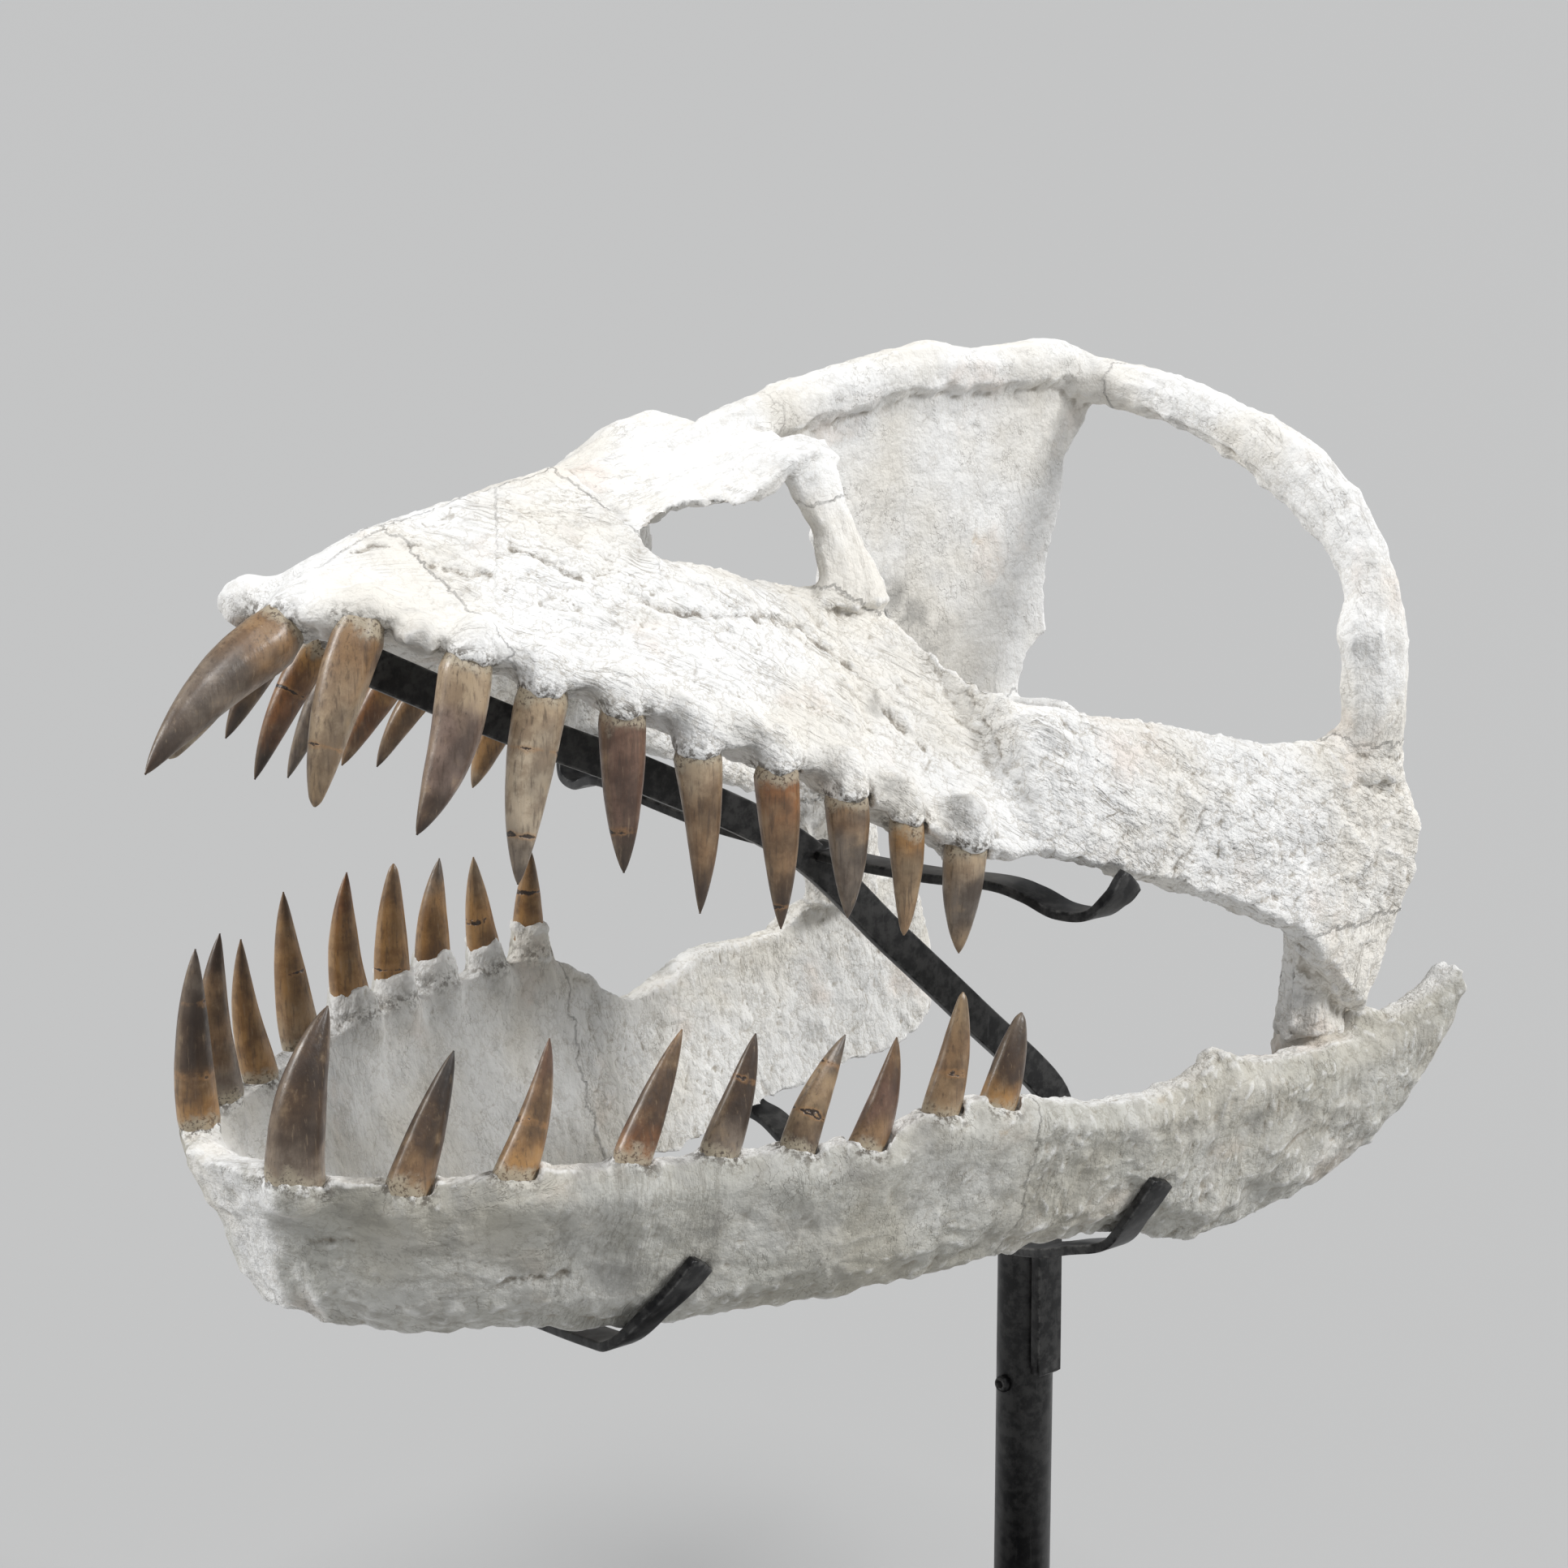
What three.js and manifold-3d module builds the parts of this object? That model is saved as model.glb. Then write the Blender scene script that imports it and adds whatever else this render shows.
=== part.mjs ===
// Skull of a long-necked plesiosaur (Zarafasaura type), jaws open, on a black steel stand.
// Row frame: millimetres, +Z up, origin at the centre of the underside of the base plate.
// The bones are laid out in head coordinates first: x runs back along the head (snout at -x),
// y runs to the animal's right, z runs up, origin in the middle of the head on its mid-plane.
import * as THREE from 'three';
import Module from 'manifold-3d';
import { mergeVertices } from 'three/addons/utils/BufferGeometryUtils.js';

const wasm = await Module();
wasm.setup();

// ---- driving dimensions, mm ----
const HEAD_HEIGHT = 400;
const HEAD_SHIFT = -30;
const SEAM = 0.4;
const JOINT_HEIGHT = -79.5;
const JOINT_SPAN = [90, 142];
const REACH = 200;
const BAR_SIDES = 8;
const LEFT = -1;
const RIGHT = 1;

const BONE_COLOUR = 0xe6e0d4;
const STEEL_COLOUR = 0x1c1c1e;

// ---- outline of the cranium: [x, value] ----
const ROOF_LINE = [
  [-198, 72.5], [-192, 78], [-184, 85], [-171, 93], [-151, 98.5], [-131, 100.8], [-114, 104.5],
  [-96, 107.5], [-78, 110], [-60, 113], [-32, 116], [-14, 118],
];
const UPPER_ROW_WIDTH = [
  [-198, 2], [-190, 10], [-182, 20], [-171, 36], [-150, 54], [-130, 66], [-110, 79], [-86, 88],
];
// The right half of the snout is a little crushed: its share of the left half's width.
const RIGHT_SNOUT_SHARE = [[-198, 0.9], [-180, 0.78], [-166, 0.8], [-146, 1]];
const UPPER_ROW_HEIGHT = [
  [-198, 68], [-190, 73], [-183, 75], [-159, 66], [-143, 58], [-123, 51], [-105, 41], [-83, 31],
];
const UPPER_ROW_MARGIN = [[-198, 0], [-175, 2], [-150, 5]];
const PALATE_VAULT = [[-185, 0.02], [-160, 0.25]];
const BROW_WIDTH = [[-94, 34], [-78, 38], [-62, 41], [-48, 43], [-36, 43], [-24, 42], [-13, 39]];
const BROW_HEIGHT = [[-94, 90], [-78, 94], [-62, 98.8], [-48, 104.5], [-36, 111], [-24, 113.2], [-13, 109.5]];
const ROOF_THICKNESS = [[-94, 5], [-70, 5.5], [-48, 8], [-13, 9]];

// Side wall from the back of the snout to the jaw joint: [x, top y, top z, low y, low z].
const SIDE_WALL = [
  [-92, 40, 88, 88, 36],
  [-82, 44, 86, 92, 31],
  [-70, 47, 82.5, 97, 26],
  [-55, 48, 77.5, 102, 16.5],
  [-42, 48, 74, 106, 8.5],
  [-30, 49, 72, 109, 2],
  [-21, 50, 69.5, 111, -0.5],
  [-12, 52, 66, 113, -1.5],
  [-7, 60, 58.5, 114, -1.5],
  [-4, 78, 49, 114.5, -1.5],
  [-1, 97, 43, 115, -1.5],
  [8, 106, 40, 116, -4],
  [25, 110, 36, 118, -9.5],
  [44, 113, 31, 119, -17],
  [61, 115, 26, 121, -23.5],
  [98, 118, 17, 124, -40],
  [112, 119, 15, 124, -54],
  [124, 119, 19, 123, -67],
  [134, 119, 19, 121, -73],
  [142, 120, 15, 121, -58],
  [148.5, 121, 5, 122, -43],
  [153.5, 122, -8, 123, -29],
];
const SNOUT_STATIONS = [-198, -194, -188, -180, -168, -152, -138, -124, -110, -97, -86.4];
const WALL_TOP_THICKNESS = 8;
const WALL_LOW_THICKNESS = [[-92, 20], [-20, 17], [10, 12], [60, 11], [156, 10]];
const WALL_BULGE = 4;

// Opening of the eye in the side wall: [x, z].
const ORBIT = [
  [-86, 91], [-76, 96], [-66, 98.5], [-56, 99], [-47, 98], [-37, 95], [-30, 92.5], [-28.7, 87],
  [-33, 81], [-40, 77], [-52, 77.5], [-67, 82.5], [-82, 87.5],
];

const ORBIT_DEPTH = 20;

// Bars: [x, y, z, width across the bar, thickness].
const POSTORBITAL_BAR = [
  [-24, 38, 104, 17, 10],
  [-24, 43, 97, 16, 8.5],
  [-23, 47, 87, 15.5, 8],
  [-21.5, 51, 77, 18, 8.5],
  [-22.5, 54, 66, 28, 10],
];
const CREST_BAR = [
  [-100, 0, 95, 10, 10],
  [-32, 0, 109, 14, 14],
  [-14, 0, 112.5, 15, 15],
  [5, 0, 117, 15, 15],
  [45, 0, 122.5, 15, 15],
  [66, 0, 122.5, 15, 15],
  [80, 0, 120, 15, 15],
  [116, 0, 120, 15, 16],
  [129, 0, 115, 15, 16],
];
const ARCH = [
  [124, 0, 115, 15, 16],
  [132, 12, 113.3, 15, 16],
  [136, 32, 110, 15, 15],
  [138, 50, 105.5, 16, 15],
  [139, 70, 98.8, 18, 14],
  [139, 86, 91, 20, 14],
  [139, 100, 81.8, 19.5, 14],
  [138.5, 111.5, 69.5, 15.5, 15],
  [138, 116, 58, 15, 18],
  [136, 118, 47, 16, 26],
  [137, 119, 33, 15, 25],
  [137, 119, 16, 13, 23],
  [135, 119, 2, 11, 27],
];

// Upright plate under the crest: [x, z].
const CREST_PLATE = [
  [0, 114], [30, 118], [60, 120], [100, 118], [126, 112], [132, 107], [124.5, 97], [118.5, 89.5],
  [117.5, 82], [116, 74], [112, 60], [110, 48], [109.5, 34], [101.5, 27], [99.5, 20], [99, 8],
  [97, -6], [80, -8], [62, 0], [50, 20], [43, 42], [36, 57], [28, 72], [18, 86], [10, 97], [2, 105],
];
const PLATE_THICKNESS = 6;

// Palate: mid-line keel and the wings to the jaw joints.
const PALATE_KEEL = [
  [-86, 0, 50, 40, 12],
  [-10, 0, 12, 34, 8],
  [30, 0, 2, 30, 8],
  [70, 0, -8, 34, 9],
  [104, 0, -14, 30, 12],
];
const PALATE_WING = [
  [92, 0, 2, 24, 16],
  [102, 14, 3, 24, 10],
  [120, 66, -20, 18, 8],
  [125, 92, -34, 20, 9],
  [125, 108, -44, 24, 8],
];
const QUADRATE = [
  [126, 111, -36, 30, 14],
  [125.3, 110, -52, 30, 14],
  [124.2, 109, -66, 29, 15],
  [124, 108, -82, 26, 16],
];

// Gaps between bones across the mid-line: [x, z] to [x, z], and their reach to each side.
const MIDDLE_SEAMS = [
  [[-151.6, 20], [-151.6, 130], REACH],
  [[-86, 91.5], [-97, 135], REACH],
  [[-86, 60], [-86, 91.6], 21],
  [[-86, 85], [-86, 91.6], 38],
  [[-86.2, 30], [-86.2, 60], 26],
  [[-8, 90], [-8, 135], 30],
  [[38, 14.5], [112, 14.5], 10],
];
// The gap between the two upper jaw bones, on the mid-line.
const MAXILLA_SEAM = [[-151.6, 20], [-86, 20], [-86, 91.5], [-96.9, 135], [-151.6, 135]];
// Gaps across each flank: [x, z] to [x, z], and y from inside to outside.
const SIDE_SEAMS = [
  [[-40, 94.8], [-8, 99], 30, 60],
  [[-36, 74.5], [-8, 62], 36, 62],
  [[5, 52], [-3, -12], 80, 150],
  [[112, 17], [162, 9], 60, 150],
  [[88, -42], [160, -42], 99, 150],
];
// Gaps along the head: y, and the outline [x, z] that they cut through.
const LENGTHWISE_SEAMS = [
  [14, [[112, 85], [160, 85], [160, 140], [112, 140]]],
  [99, [[100, -60], [150, -60], [150, 0], [100, 0]]],
];

// Teeth: [base x, y, z, tip x, y, z, width, bow, fullness]; y grows outwards. `bow` is how far the
// middle stands forward of the straight line; a fuller tooth keeps its width nearer to the tip.
const LEFT_UPPER_TEETH = [
  [-197.5, 10, 72.5, -242, 15, 43.2, 16.5, 2.6, 1.6],
  [-181, 28, 73.5, -199.5, 32, 30.5, 14.5, 1.4, 2],
  [-160.5, 49, 64.5, -181, 53, 23.5, 15.2, -2.8, 2],
  [-142, 59, 56.5, -154.5, 63, 7, 14.8, 1.2, 2],
  [-123.5, 71, 50, -126, 74, 7.5, 13.2, 0, 2],
  [-105, 81, 38, -107, 84, -5.5, 13.4, -1.6, 1.3],
  [-83, 89, 31, -84, 92, -12.5, 13, -0.7, 1.6],
  [-63, 96, 22, -65, 99, -11.3, 12.8, -0.7, 1.8],
  [-43.5, 100, 11.5, -46, 102, -19.2, 10.6, -0.8, 1.6],
  [-24.5, 105, 3, -28, 106, -27, 12.8, 0.4, 2],
];
const RIGHT_UPPER_TEETH = [
  [-184, 10, 71.5, -214, 16, 38, 12.5, 1, 2.6],
  [-145.5, 59, 57, -163.5, 62, 28.5, 10.5, 0.6, 1.8],
  [-123.5, 71, 49, -144, 76, 10.7, 11, 1.9, 1.9],
  [-105.5, 81, 42, -125, 86, 6.5, 10.5, 1.5, 1.8],
  [-82.5, 89, 31, -99, 94, 5, 10.5, 0.8, 1.8],
  [-65, 96, 24, -80.5, 101, 0.5, 9.5, 1.2, 1.8],
  [-46.5, 101, 15, -56, 105, -8, 10.5, 1, 1.8],
  [-28, 105, 7, -37.5, 108, -14.2, 10.5, 0.5, 1.8],
];

// ---- outline of the lower jaw: [x, y, top z, low z, inset of the lower edge] ----
const JAW_FRONT = [
  [-212, 0, -74, -121.5, 24],
  [-209.5, 14, -74, -123, 23.5],
  [-202, 27, -75, -125, 23],
  [-181, 47, -76, -127.5, 23],
  [-154, 62, -75, -128.7, 23.5],
  [-126, 79, -74, -129, 22],
];
const JAW_LEFT_REAR = [
  [-80, 95, -76, -129.5, 21],
  [-56, 102, -76.5, -129, 20.5],
  [-33, 106, -69.5, -128.5, 20],
  [-10, 109, -71.5, -128, 19],
  [10, 111, -78, -127.5, 18],
  [28, 112, -82, -127.5, 17],
  [46, 114, -82.5, -128.5, 16],
  [62, 115, -81, -135, 15],
  [73, 116, -75, -138, 14],
  [85, 117, -79.5, -135, 13],
  [100, 118, -81, -133.5, 12],
  [120, 119, -80, -128.5, 10],
  [137, 121, -80, -120.5, 8],
  [145, 122, -76, -114.5, 6],
  [153, 123, -72.5, -106, 4],
  [161, 124, -69, -95, 2],
  [166.5, 125, -64.5, -83, 1],
  [171, 126, -63.5, -73, 0],
];
const JAW_RIGHT_REAR = [
  [-80, 95, -75, -133, 21],
  [-33, 106, -73, -142, 20],
  [-14, 108, -73, -144, 20],
  [9, 110, -86, -146, 20],
  [28, 112, -98, -147, 19],
  [46, 113, -95.5, -145.5, 18],
  [62, 115, -88.5, -143, 17],
  [82, 117, -89, -140, 16],
  [100, 118, -89, -139, 15],
  [116, 119, -82, -137.5, 14],
  [137, 120, -80, -137, 13],
  [150, 121, -78, -136.5, 12],
  [161, 122, -79, -133.5, 11],
  [168, 122, -82, -128, 9],
  [172, 122, -87, -120, 7],
];
const DENTARY_END = -4;
const JAW_INNER = [[0, 20], [14, 18], [27, 12], [47, 10], [62, 9], [101, 8.5], [127, 7.5]];
const JAW_MIDDLE = 60;
const JAW_OUTER = [[0, 1], [27, 2.5], [47, 5], [62, 8]];

const LEFT_LOWER_TEETH = [
  [-205, 26, -75.5, -192.5, 26, -28, 17, 3.2, 2],
  [-181.5, 46, -78.5, -164.5, 46, -42, 13, 0, 1.5],
  [-156, 61, -76.5, -142.5, 61, -39.5, 12, -2, 1.3],
  [-128, 79, -73, -109.5, 79, -39.5, 11.2, 0, 1.5],
  [-103, 87, -75, -89, 87, -43, 11.4, -1, 1.6],
  [-80.5, 95, -77, -62, 95, -47, 11, 1.2, 1.7],
  [-60, 101, -80, -47.5, 101, -49.3, 11, -1.9, 1.6],
  [-35, 106, -73.5, -26, 106, -39, 11.4, -1.3, 1.7],
  [-15, 109, -75, -5, 109, -48.5, 11.4, -0.5, 2],
];
const RIGHT_LOWER_TEETH = [
  [-201, 26, -72, -200.5, 26, -21, 12, 1.6, 2],
  [-179.5, 45, -73, -178.5, 46, -24.5, 12, 3, 1.8],
  [-156, 60, -75.5, -161, 61, -32.5, 11, 2, 1.5],
  [-127.7, 78, -76, -132.7, 79, -26.5, 12.7, 1.4, 1.6],
  [-101.8, 87, -72, -103.2, 87, -27, 12.4, 2.5, 1.7],
  [-80.3, 95, -73.5, -79.3, 95, -29.8, 11.6, 1, 2],
  [-59.8, 101, -72, -56.7, 101, -33, 12, 1.6, 1.8],
  [-34.3, 106, -73.5, -39.2, 106, -36.5, 11, 0.8, 1.7],
  [-14.3, 109, -73, -13.2, 109, -39.2, 11, 0.8, 1.8],
];
const TOOTH_ROOT = 8;
const TOOTH_ROOT_SHARE = 0.36;
const TOOTH_SIDES = 6;
const TOOTH_STATIONS = [0, 0.45, 0.8];
const TOOTH_TAPER = 0.74;
const TOOTH_FLATTENING = 0.88;
const TOOTH_SWELL = 1.07;

// ---- stand ----
const BASE_LENGTH = 300;
const BASE_WIDTH = 220;
const BASE_THICKNESS = 12;
const BASE_BEVEL = 1.5;
const BASE_CORNER = 8;
const POST_X = 109;
const POST_RADIUS = 9.5;
const POST_SIDES = 16;
const POST_TOP = -146;
const GAP = 0.3;
const POST_FOOT = BASE_THICKNESS - HEAD_HEIGHT + GAP;
const SCREW_HEIGHT = -222;
const SCREW_RADIUS = 2.5;
const SCREW_SIDES = 8;
const SCREW_REACH = 2;
const SPINE_SIDE = -11.8;
const FLAT_WIDTH = 11;
const FLAT_THICKNESS = 4;
const STRAP_WIDTH = 11;
const STRAP_THICKNESS = 3;

// Flat bar from the post up under the palate: [x, z].
const SPINE = [
  [107, -217], [107, -150], [110, -134], [107, -118], [71, -85], [35, -53], [-7, -16], [-64, 14],
  [-117, 38], [-166, 62],
];
// Bar to the lower edge of each cheek: [x, y, z] with y outwards, ending in a hook.
const CHEEK_BAR = [
  [5, 32, -20], [6, 60, -18.5], [6, 88, -15.5], [8, 100, -17], [11, 110, -20.5], [14, 119.5, -20],
  [17.5, 124.5, -15], [22.5, 126, -9.5],
];
const CHEEK_BAR_START = FLAT_THICKNESS / 2 + GAP;
// Straps that carry the lower jaw: [x, y, z] from the middle outwards.
const FRONT_CRADLE = [
  [-112, 0, -140.8], [-119, 52, -136], [-121, 66, -132.3], [-117.5, 76, -122], [-113, 81.5, -114.5],
  [-107.5, 85, -107],
];
const REAR_CRADLE_LEFT = [
  [62, 0, -154.6], [48, 60, -146], [44, 88, -137.5], [44, 102, -132.2], [42, 112, -121.5],
  [47.5, 117.5, -109.5],
];
const REAR_CRADLE_RIGHT = [
  [62, 0, -154.6], [70, 60, -152], [76, 90, -145.5], [77, 104, -142.8], [78, 117.5, -130], [82, 124.5, -111],
];
const JAW_BAR = [[99.1, -152], [60, -149], [0, -143], [-118, -135.5]];

// ---- small helpers ----
const vec = (x, y, z) => new THREE.Vector3(x, y, z);
const SIDEWAYS = vec(0, 1, 0);
const BACKWARDS = vec(1, 0, 0);
const UPWARDS = vec(0, 0, 1);

function lookUp(table, x) {
  if (x <= table[0][0]) return table[0][1];
  for (let i = 1; i < table.length; i += 1) {
    const [x0, v0] = table[i - 1];
    const [x1, v1] = table[i];
    if (x <= x1) return v0 + ((v1 - v0) * (x - x0)) / (x1 - x0);
  }
  return table[table.length - 1][1];
}

function toSolid(geometry) {
  const bare = geometry.clone();
  bare.deleteAttribute('normal');
  bare.deleteAttribute('uv');
  const welded = mergeVertices(bare, 1e-5);
  const mesh = new wasm.Mesh({
    numProp: 3,
    vertProperties: new Float32Array(welded.attributes.position.array),
    triVerts: new Uint32Array(welded.index.array),
  });
  return new wasm.Manifold(mesh);
}

function toGeometry(solid) {
  const mesh = solid.getMesh();
  const geometry = new THREE.BufferGeometry();
  geometry.setAttribute('position', new THREE.BufferAttribute(new Float32Array(mesh.vertProperties), 3));
  geometry.setIndex(new THREE.BufferAttribute(new Uint32Array(mesh.triVerts), 1));
  return geometry;
}

// Closed skin over rings of points, capped at both ends; `apex` draws the last cap out to a point.
function loft(rings, apex) {
  const count = rings[0].length;
  const points = rings.flat();
  const index = [];
  for (let i = 0; i + 1 < rings.length; i += 1) {
    for (let j = 0; j < count; j += 1) {
      const a = i * count + j;
      const b = i * count + ((j + 1) % count);
      index.push(a, b, a + count, b, b + count, a + count);
    }
  }
  const centre = (ring) => ring.reduce((sum, p) => sum.add(p), vec(0, 0, 0)).divideScalar(count);
  const first = points.push(centre(rings[0])) - 1;
  const last = points.push(apex ?? centre(rings[rings.length - 1])) - 1;
  const offset = (rings.length - 1) * count;
  for (let j = 0; j < count; j += 1) {
    const k = (j + 1) % count;
    index.push(first, k, j);
    index.push(last, offset + j, offset + k);
  }
  let volume = 0;
  for (let i = 0; i < index.length; i += 3) {
    const [p, q, r] = [points[index[i]], points[index[i + 1]], points[index[i + 2]]];
    volume += p.dot(q.clone().cross(r));
  }
  const geometry = new THREE.BufferGeometry().setFromPoints(points);
  geometry.setIndex(volume < 0 ? index.reverse() : index);
  return toSolid(geometry);
}

const unite = (solids) => solids.reduce((sum, solid) => sum.add(solid));
const cutAll = (solid, cutters) => cutters.reduce((rest, cutter) => rest.subtract(cutter), solid);
const mirrored = (half) => [...half, ...half.slice(1, -1).reverse().map((p) => vec(p.x, -p.y, p.z))];

function box(x0, x1, y0, y1, z0, z1) {
  const geometry = new THREE.BoxGeometry(x1 - x0, y1 - y0, z1 - z0);
  geometry.translate((x0 + x1) / 2, (y0 + y1) / 2, (z0 + z1) / 2);
  return toSolid(geometry);
}

// Prism with an outline in the x-z plane, running from y0 to y1.
function prism(outline, y0, y1) {
  const geometry = new THREE.ExtrudeGeometry(
    new THREE.Shape(outline.map(([x, z]) => new THREE.Vector2(x, z))),
    { depth: Math.abs(y1 - y0), bevelEnabled: false },
  );
  geometry.rotateX(Math.PI / 2);
  geometry.translate(0, Math.max(y0, y1), 0);
  return toSolid(geometry);
}

// Thin gap between two bones along the line (x0, z0) to (x1, z1), from y0 to y1.
function seam([x0, z0], [x1, z1], y0, y1) {
  const length = Math.hypot(x1 - x0, z1 - z0);
  const nx = (-(z1 - z0) / length) * (SEAM / 2);
  const nz = ((x1 - x0) / length) * (SEAM / 2);
  return prism([[x0 + nx, z0 + nz], [x1 + nx, z1 + nz], [x1 - nx, z1 - nz], [x0 - nx, z0 - nz]], y0, y1);
}

// Rings across a run of points: `flat` is the direction that the thickness is measured along.
function ringsAlong(centres, flat, outlineAt) {
  return centres.map((centre, i) => {
    const before = centres[Math.max(i - 1, 0)];
    const after = centres[Math.min(i + 1, centres.length - 1)];
    const along = after.clone().sub(before).normalize();
    const across = flat.clone().cross(along).normalize();
    const through = along.clone().cross(across).normalize();
    const onRing = ([a, b]) => centre.clone().addScaledVector(across, a).addScaledVector(through, b);
    return outlineAt(i).map(onRing);
  });
}

// Rounded bar along stations [x, y, z, width, thickness].
function bar(stations, side, flat) {
  const swell = 1 / Math.cos(Math.PI / BAR_SIDES);
  const centres = stations.map(([x, y, z]) => vec(x, side * y, z));
  return loft(ringsAlong(centres, flat, (i) => {
    const [, , , width, thickness] = stations[i];
    return Array.from({ length: BAR_SIDES }, (_, k) => {
      const angle = ((k + 0.5) / BAR_SIDES) * Math.PI * 2;
      return [(Math.cos(angle) * width * swell) / 2, (Math.sin(angle) * thickness * swell) / 2];
    });
  }));
}

// Flat steel bar along points, with square edges.
function strip(points, flat, width, thickness) {
  const corners = [[1, 1], [-1, 1], [-1, -1], [1, -1]];
  const outline = corners.map(([a, b]) => [(a * width) / 2, (b * thickness) / 2]);
  return loft(ringsAlong(points, flat, () => outline));
}

// ---- teeth ----
function tooth([bx, by, bz, tx, ty, tz, width, forwards, fullness], side) {
  const base = vec(bx, side * by, bz);
  const tip = vec(tx, side * ty, tz);
  const along = tip.clone().sub(base);
  const length = along.length();
  along.normalize();
  const bow = BACKWARDS.clone().addScaledVector(along, -along.x).normalize().negate();
  const across = along.clone().cross(bow);
  const ring = (t, reach, radius) => {
    const sweep = forwards * 4 * t * (1 - t);
    const centre = base.clone().addScaledVector(along, reach).addScaledVector(bow, sweep);
    return Array.from({ length: TOOTH_SIDES }, (_, k) => {
      const angle = (k / TOOTH_SIDES) * Math.PI * 2;
      return centre.clone()
        .addScaledVector(bow, Math.cos(angle) * radius)
        .addScaledVector(across, Math.sin(angle) * radius * TOOTH_FLATTENING);
    });
  };
  const rings = [ring(0, -TOOTH_ROOT, width * TOOTH_ROOT_SHARE)];
  for (const t of TOOTH_STATIONS) {
    rings.push(ring(t, t * length, (width / 2) * TOOTH_SWELL * (1 - t ** fullness) ** TOOTH_TAPER));
  }
  return loft(rings, tip);
}

const teeth = (list, side) => list.map((entry) => tooth(entry, side));

// ---- cranium ----
function snout() {
  return loft(SNOUT_STATIONS.map((x) => {
    const top = lookUp(ROOF_LINE, x);
    const width = lookUp(UPPER_ROW_WIDTH, x);
    const low = lookUp(UPPER_ROW_HEIGHT, x);
    const margin = lookUp(UPPER_ROW_MARGIN, x);
    const height = top - low;
    const vault = height * lookUp(PALATE_VAULT, x);
    const share = lookUp(RIGHT_SNOUT_SHARE, x);
    const outline = mirrored([
      vec(x, 0, top),
      vec(x, 0.28 * width, top - 0.13 * height),
      vec(x, 0.58 * width, top - 0.37 * height),
      vec(x, 0.84 * width + 2, top - 0.64 * height),
      vec(x, width + margin, low + 0.16 * height),
      vec(x, width + margin, low + 2),
      vec(x, Math.max(width - 9, 0.6 * width), low),
      vec(x, 0.45 * width, low + 0.8 * vault),
      vec(x, 0, low + vault),
    ]);
    return outline.map((p) => (p.y > 0 ? vec(p.x, p.y * share, p.z) : p));
  }));
}

function skullRoof() {
  return loft(BROW_WIDTH.map(([x, width], i) => {
    const top = lookUp(ROOF_LINE, x);
    const brow = BROW_HEIGHT[i][1];
    const thickness = lookUp(ROOF_THICKNESS, x);
    return mirrored([
      vec(x, 0, top - 2),
      vec(x, 0.4 * width, (top + brow) / 2 - 4),
      vec(x, 0.8 * width, brow + 1.5),
      vec(x, width, brow - 2),
      vec(x, width - 2, brow - thickness + 1),
      vec(x, 0.6 * width, brow - thickness),
      vec(x, 0, top - 2 * thickness),
    ]);
  }));
}

function sideWall(side) {
  return loft(SIDE_WALL.map(([x, topY, topZ, lowY, lowZ]) => {
    const lowThickness = lookUp(WALL_LOW_THICKNESS, x);
    const at = (t, out) => {
      const bulge = WALL_BULGE * 4 * t * (1 - t);
      return vec(x, side * (topY + (lowY - topY) * t + bulge + out), topZ + (lowZ - topZ) * t);
    };
    return [
      at(0, -3), at(0.06, 0), at(0.35, 0), at(0.7, 0), at(0.95, 1), at(1, -3), at(1, -lowThickness * 0.8),
      at(0.93, -lowThickness), at(0.6, -WALL_TOP_THICKNESS - 2), at(0.3, -WALL_TOP_THICKNESS),
      at(0.04, -WALL_TOP_THICKNESS),
    ];
  }));
}

// Gaps that part the cranium into its bones.
function craniumSeams() {
  const onBothSides = (reach) => [-reach, reach];
  const seams = [
    ...MIDDLE_SEAMS.map(([from, to, reach]) => seam(from, to, ...onBothSides(reach))),
    prism(MAXILLA_SEAM, ...onBothSides(SEAM / 2)),
  ];
  for (const side of [LEFT, RIGHT]) {
    seams.push(...SIDE_SEAMS.map(([from, to, inner, outer]) => seam(from, to, side * inner, side * outer)));
    seams.push(...LENGTHWISE_SEAMS.map(([y, outline]) => prism(outline, side * y, side * (y + SEAM))));
  }
  return seams;
}

function cranium() {
  const parts = [
    snout(),
    skullRoof(),
    bar(CREST_BAR, 1, SIDEWAYS),
    prism(CREST_PLATE, -PLATE_THICKNESS / 2, PLATE_THICKNESS / 2),
    bar(PALATE_KEEL, 1, UPWARDS),
  ];
  for (const side of [LEFT, RIGHT]) {
    parts.push(sideWall(side));
    parts.push(bar(POSTORBITAL_BAR, side, SIDEWAYS));
    parts.push(bar(ARCH, side, BACKWARDS));
    parts.push(bar(PALATE_WING, side, BACKWARDS));
    parts.push(bar(QUADRATE, side, SIDEWAYS));
  }
  const eyes = [LEFT, RIGHT].map((side) => prism(ORBIT, side * ORBIT_DEPTH, side * REACH));
  const [front, back] = JOINT_SPAN;
  const joint = box(front, back, -REACH, REACH, -REACH, JOINT_HEIGHT + SEAM / 2);
  return cutAll(unite(parts), [...eyes, joint]);
}

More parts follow.
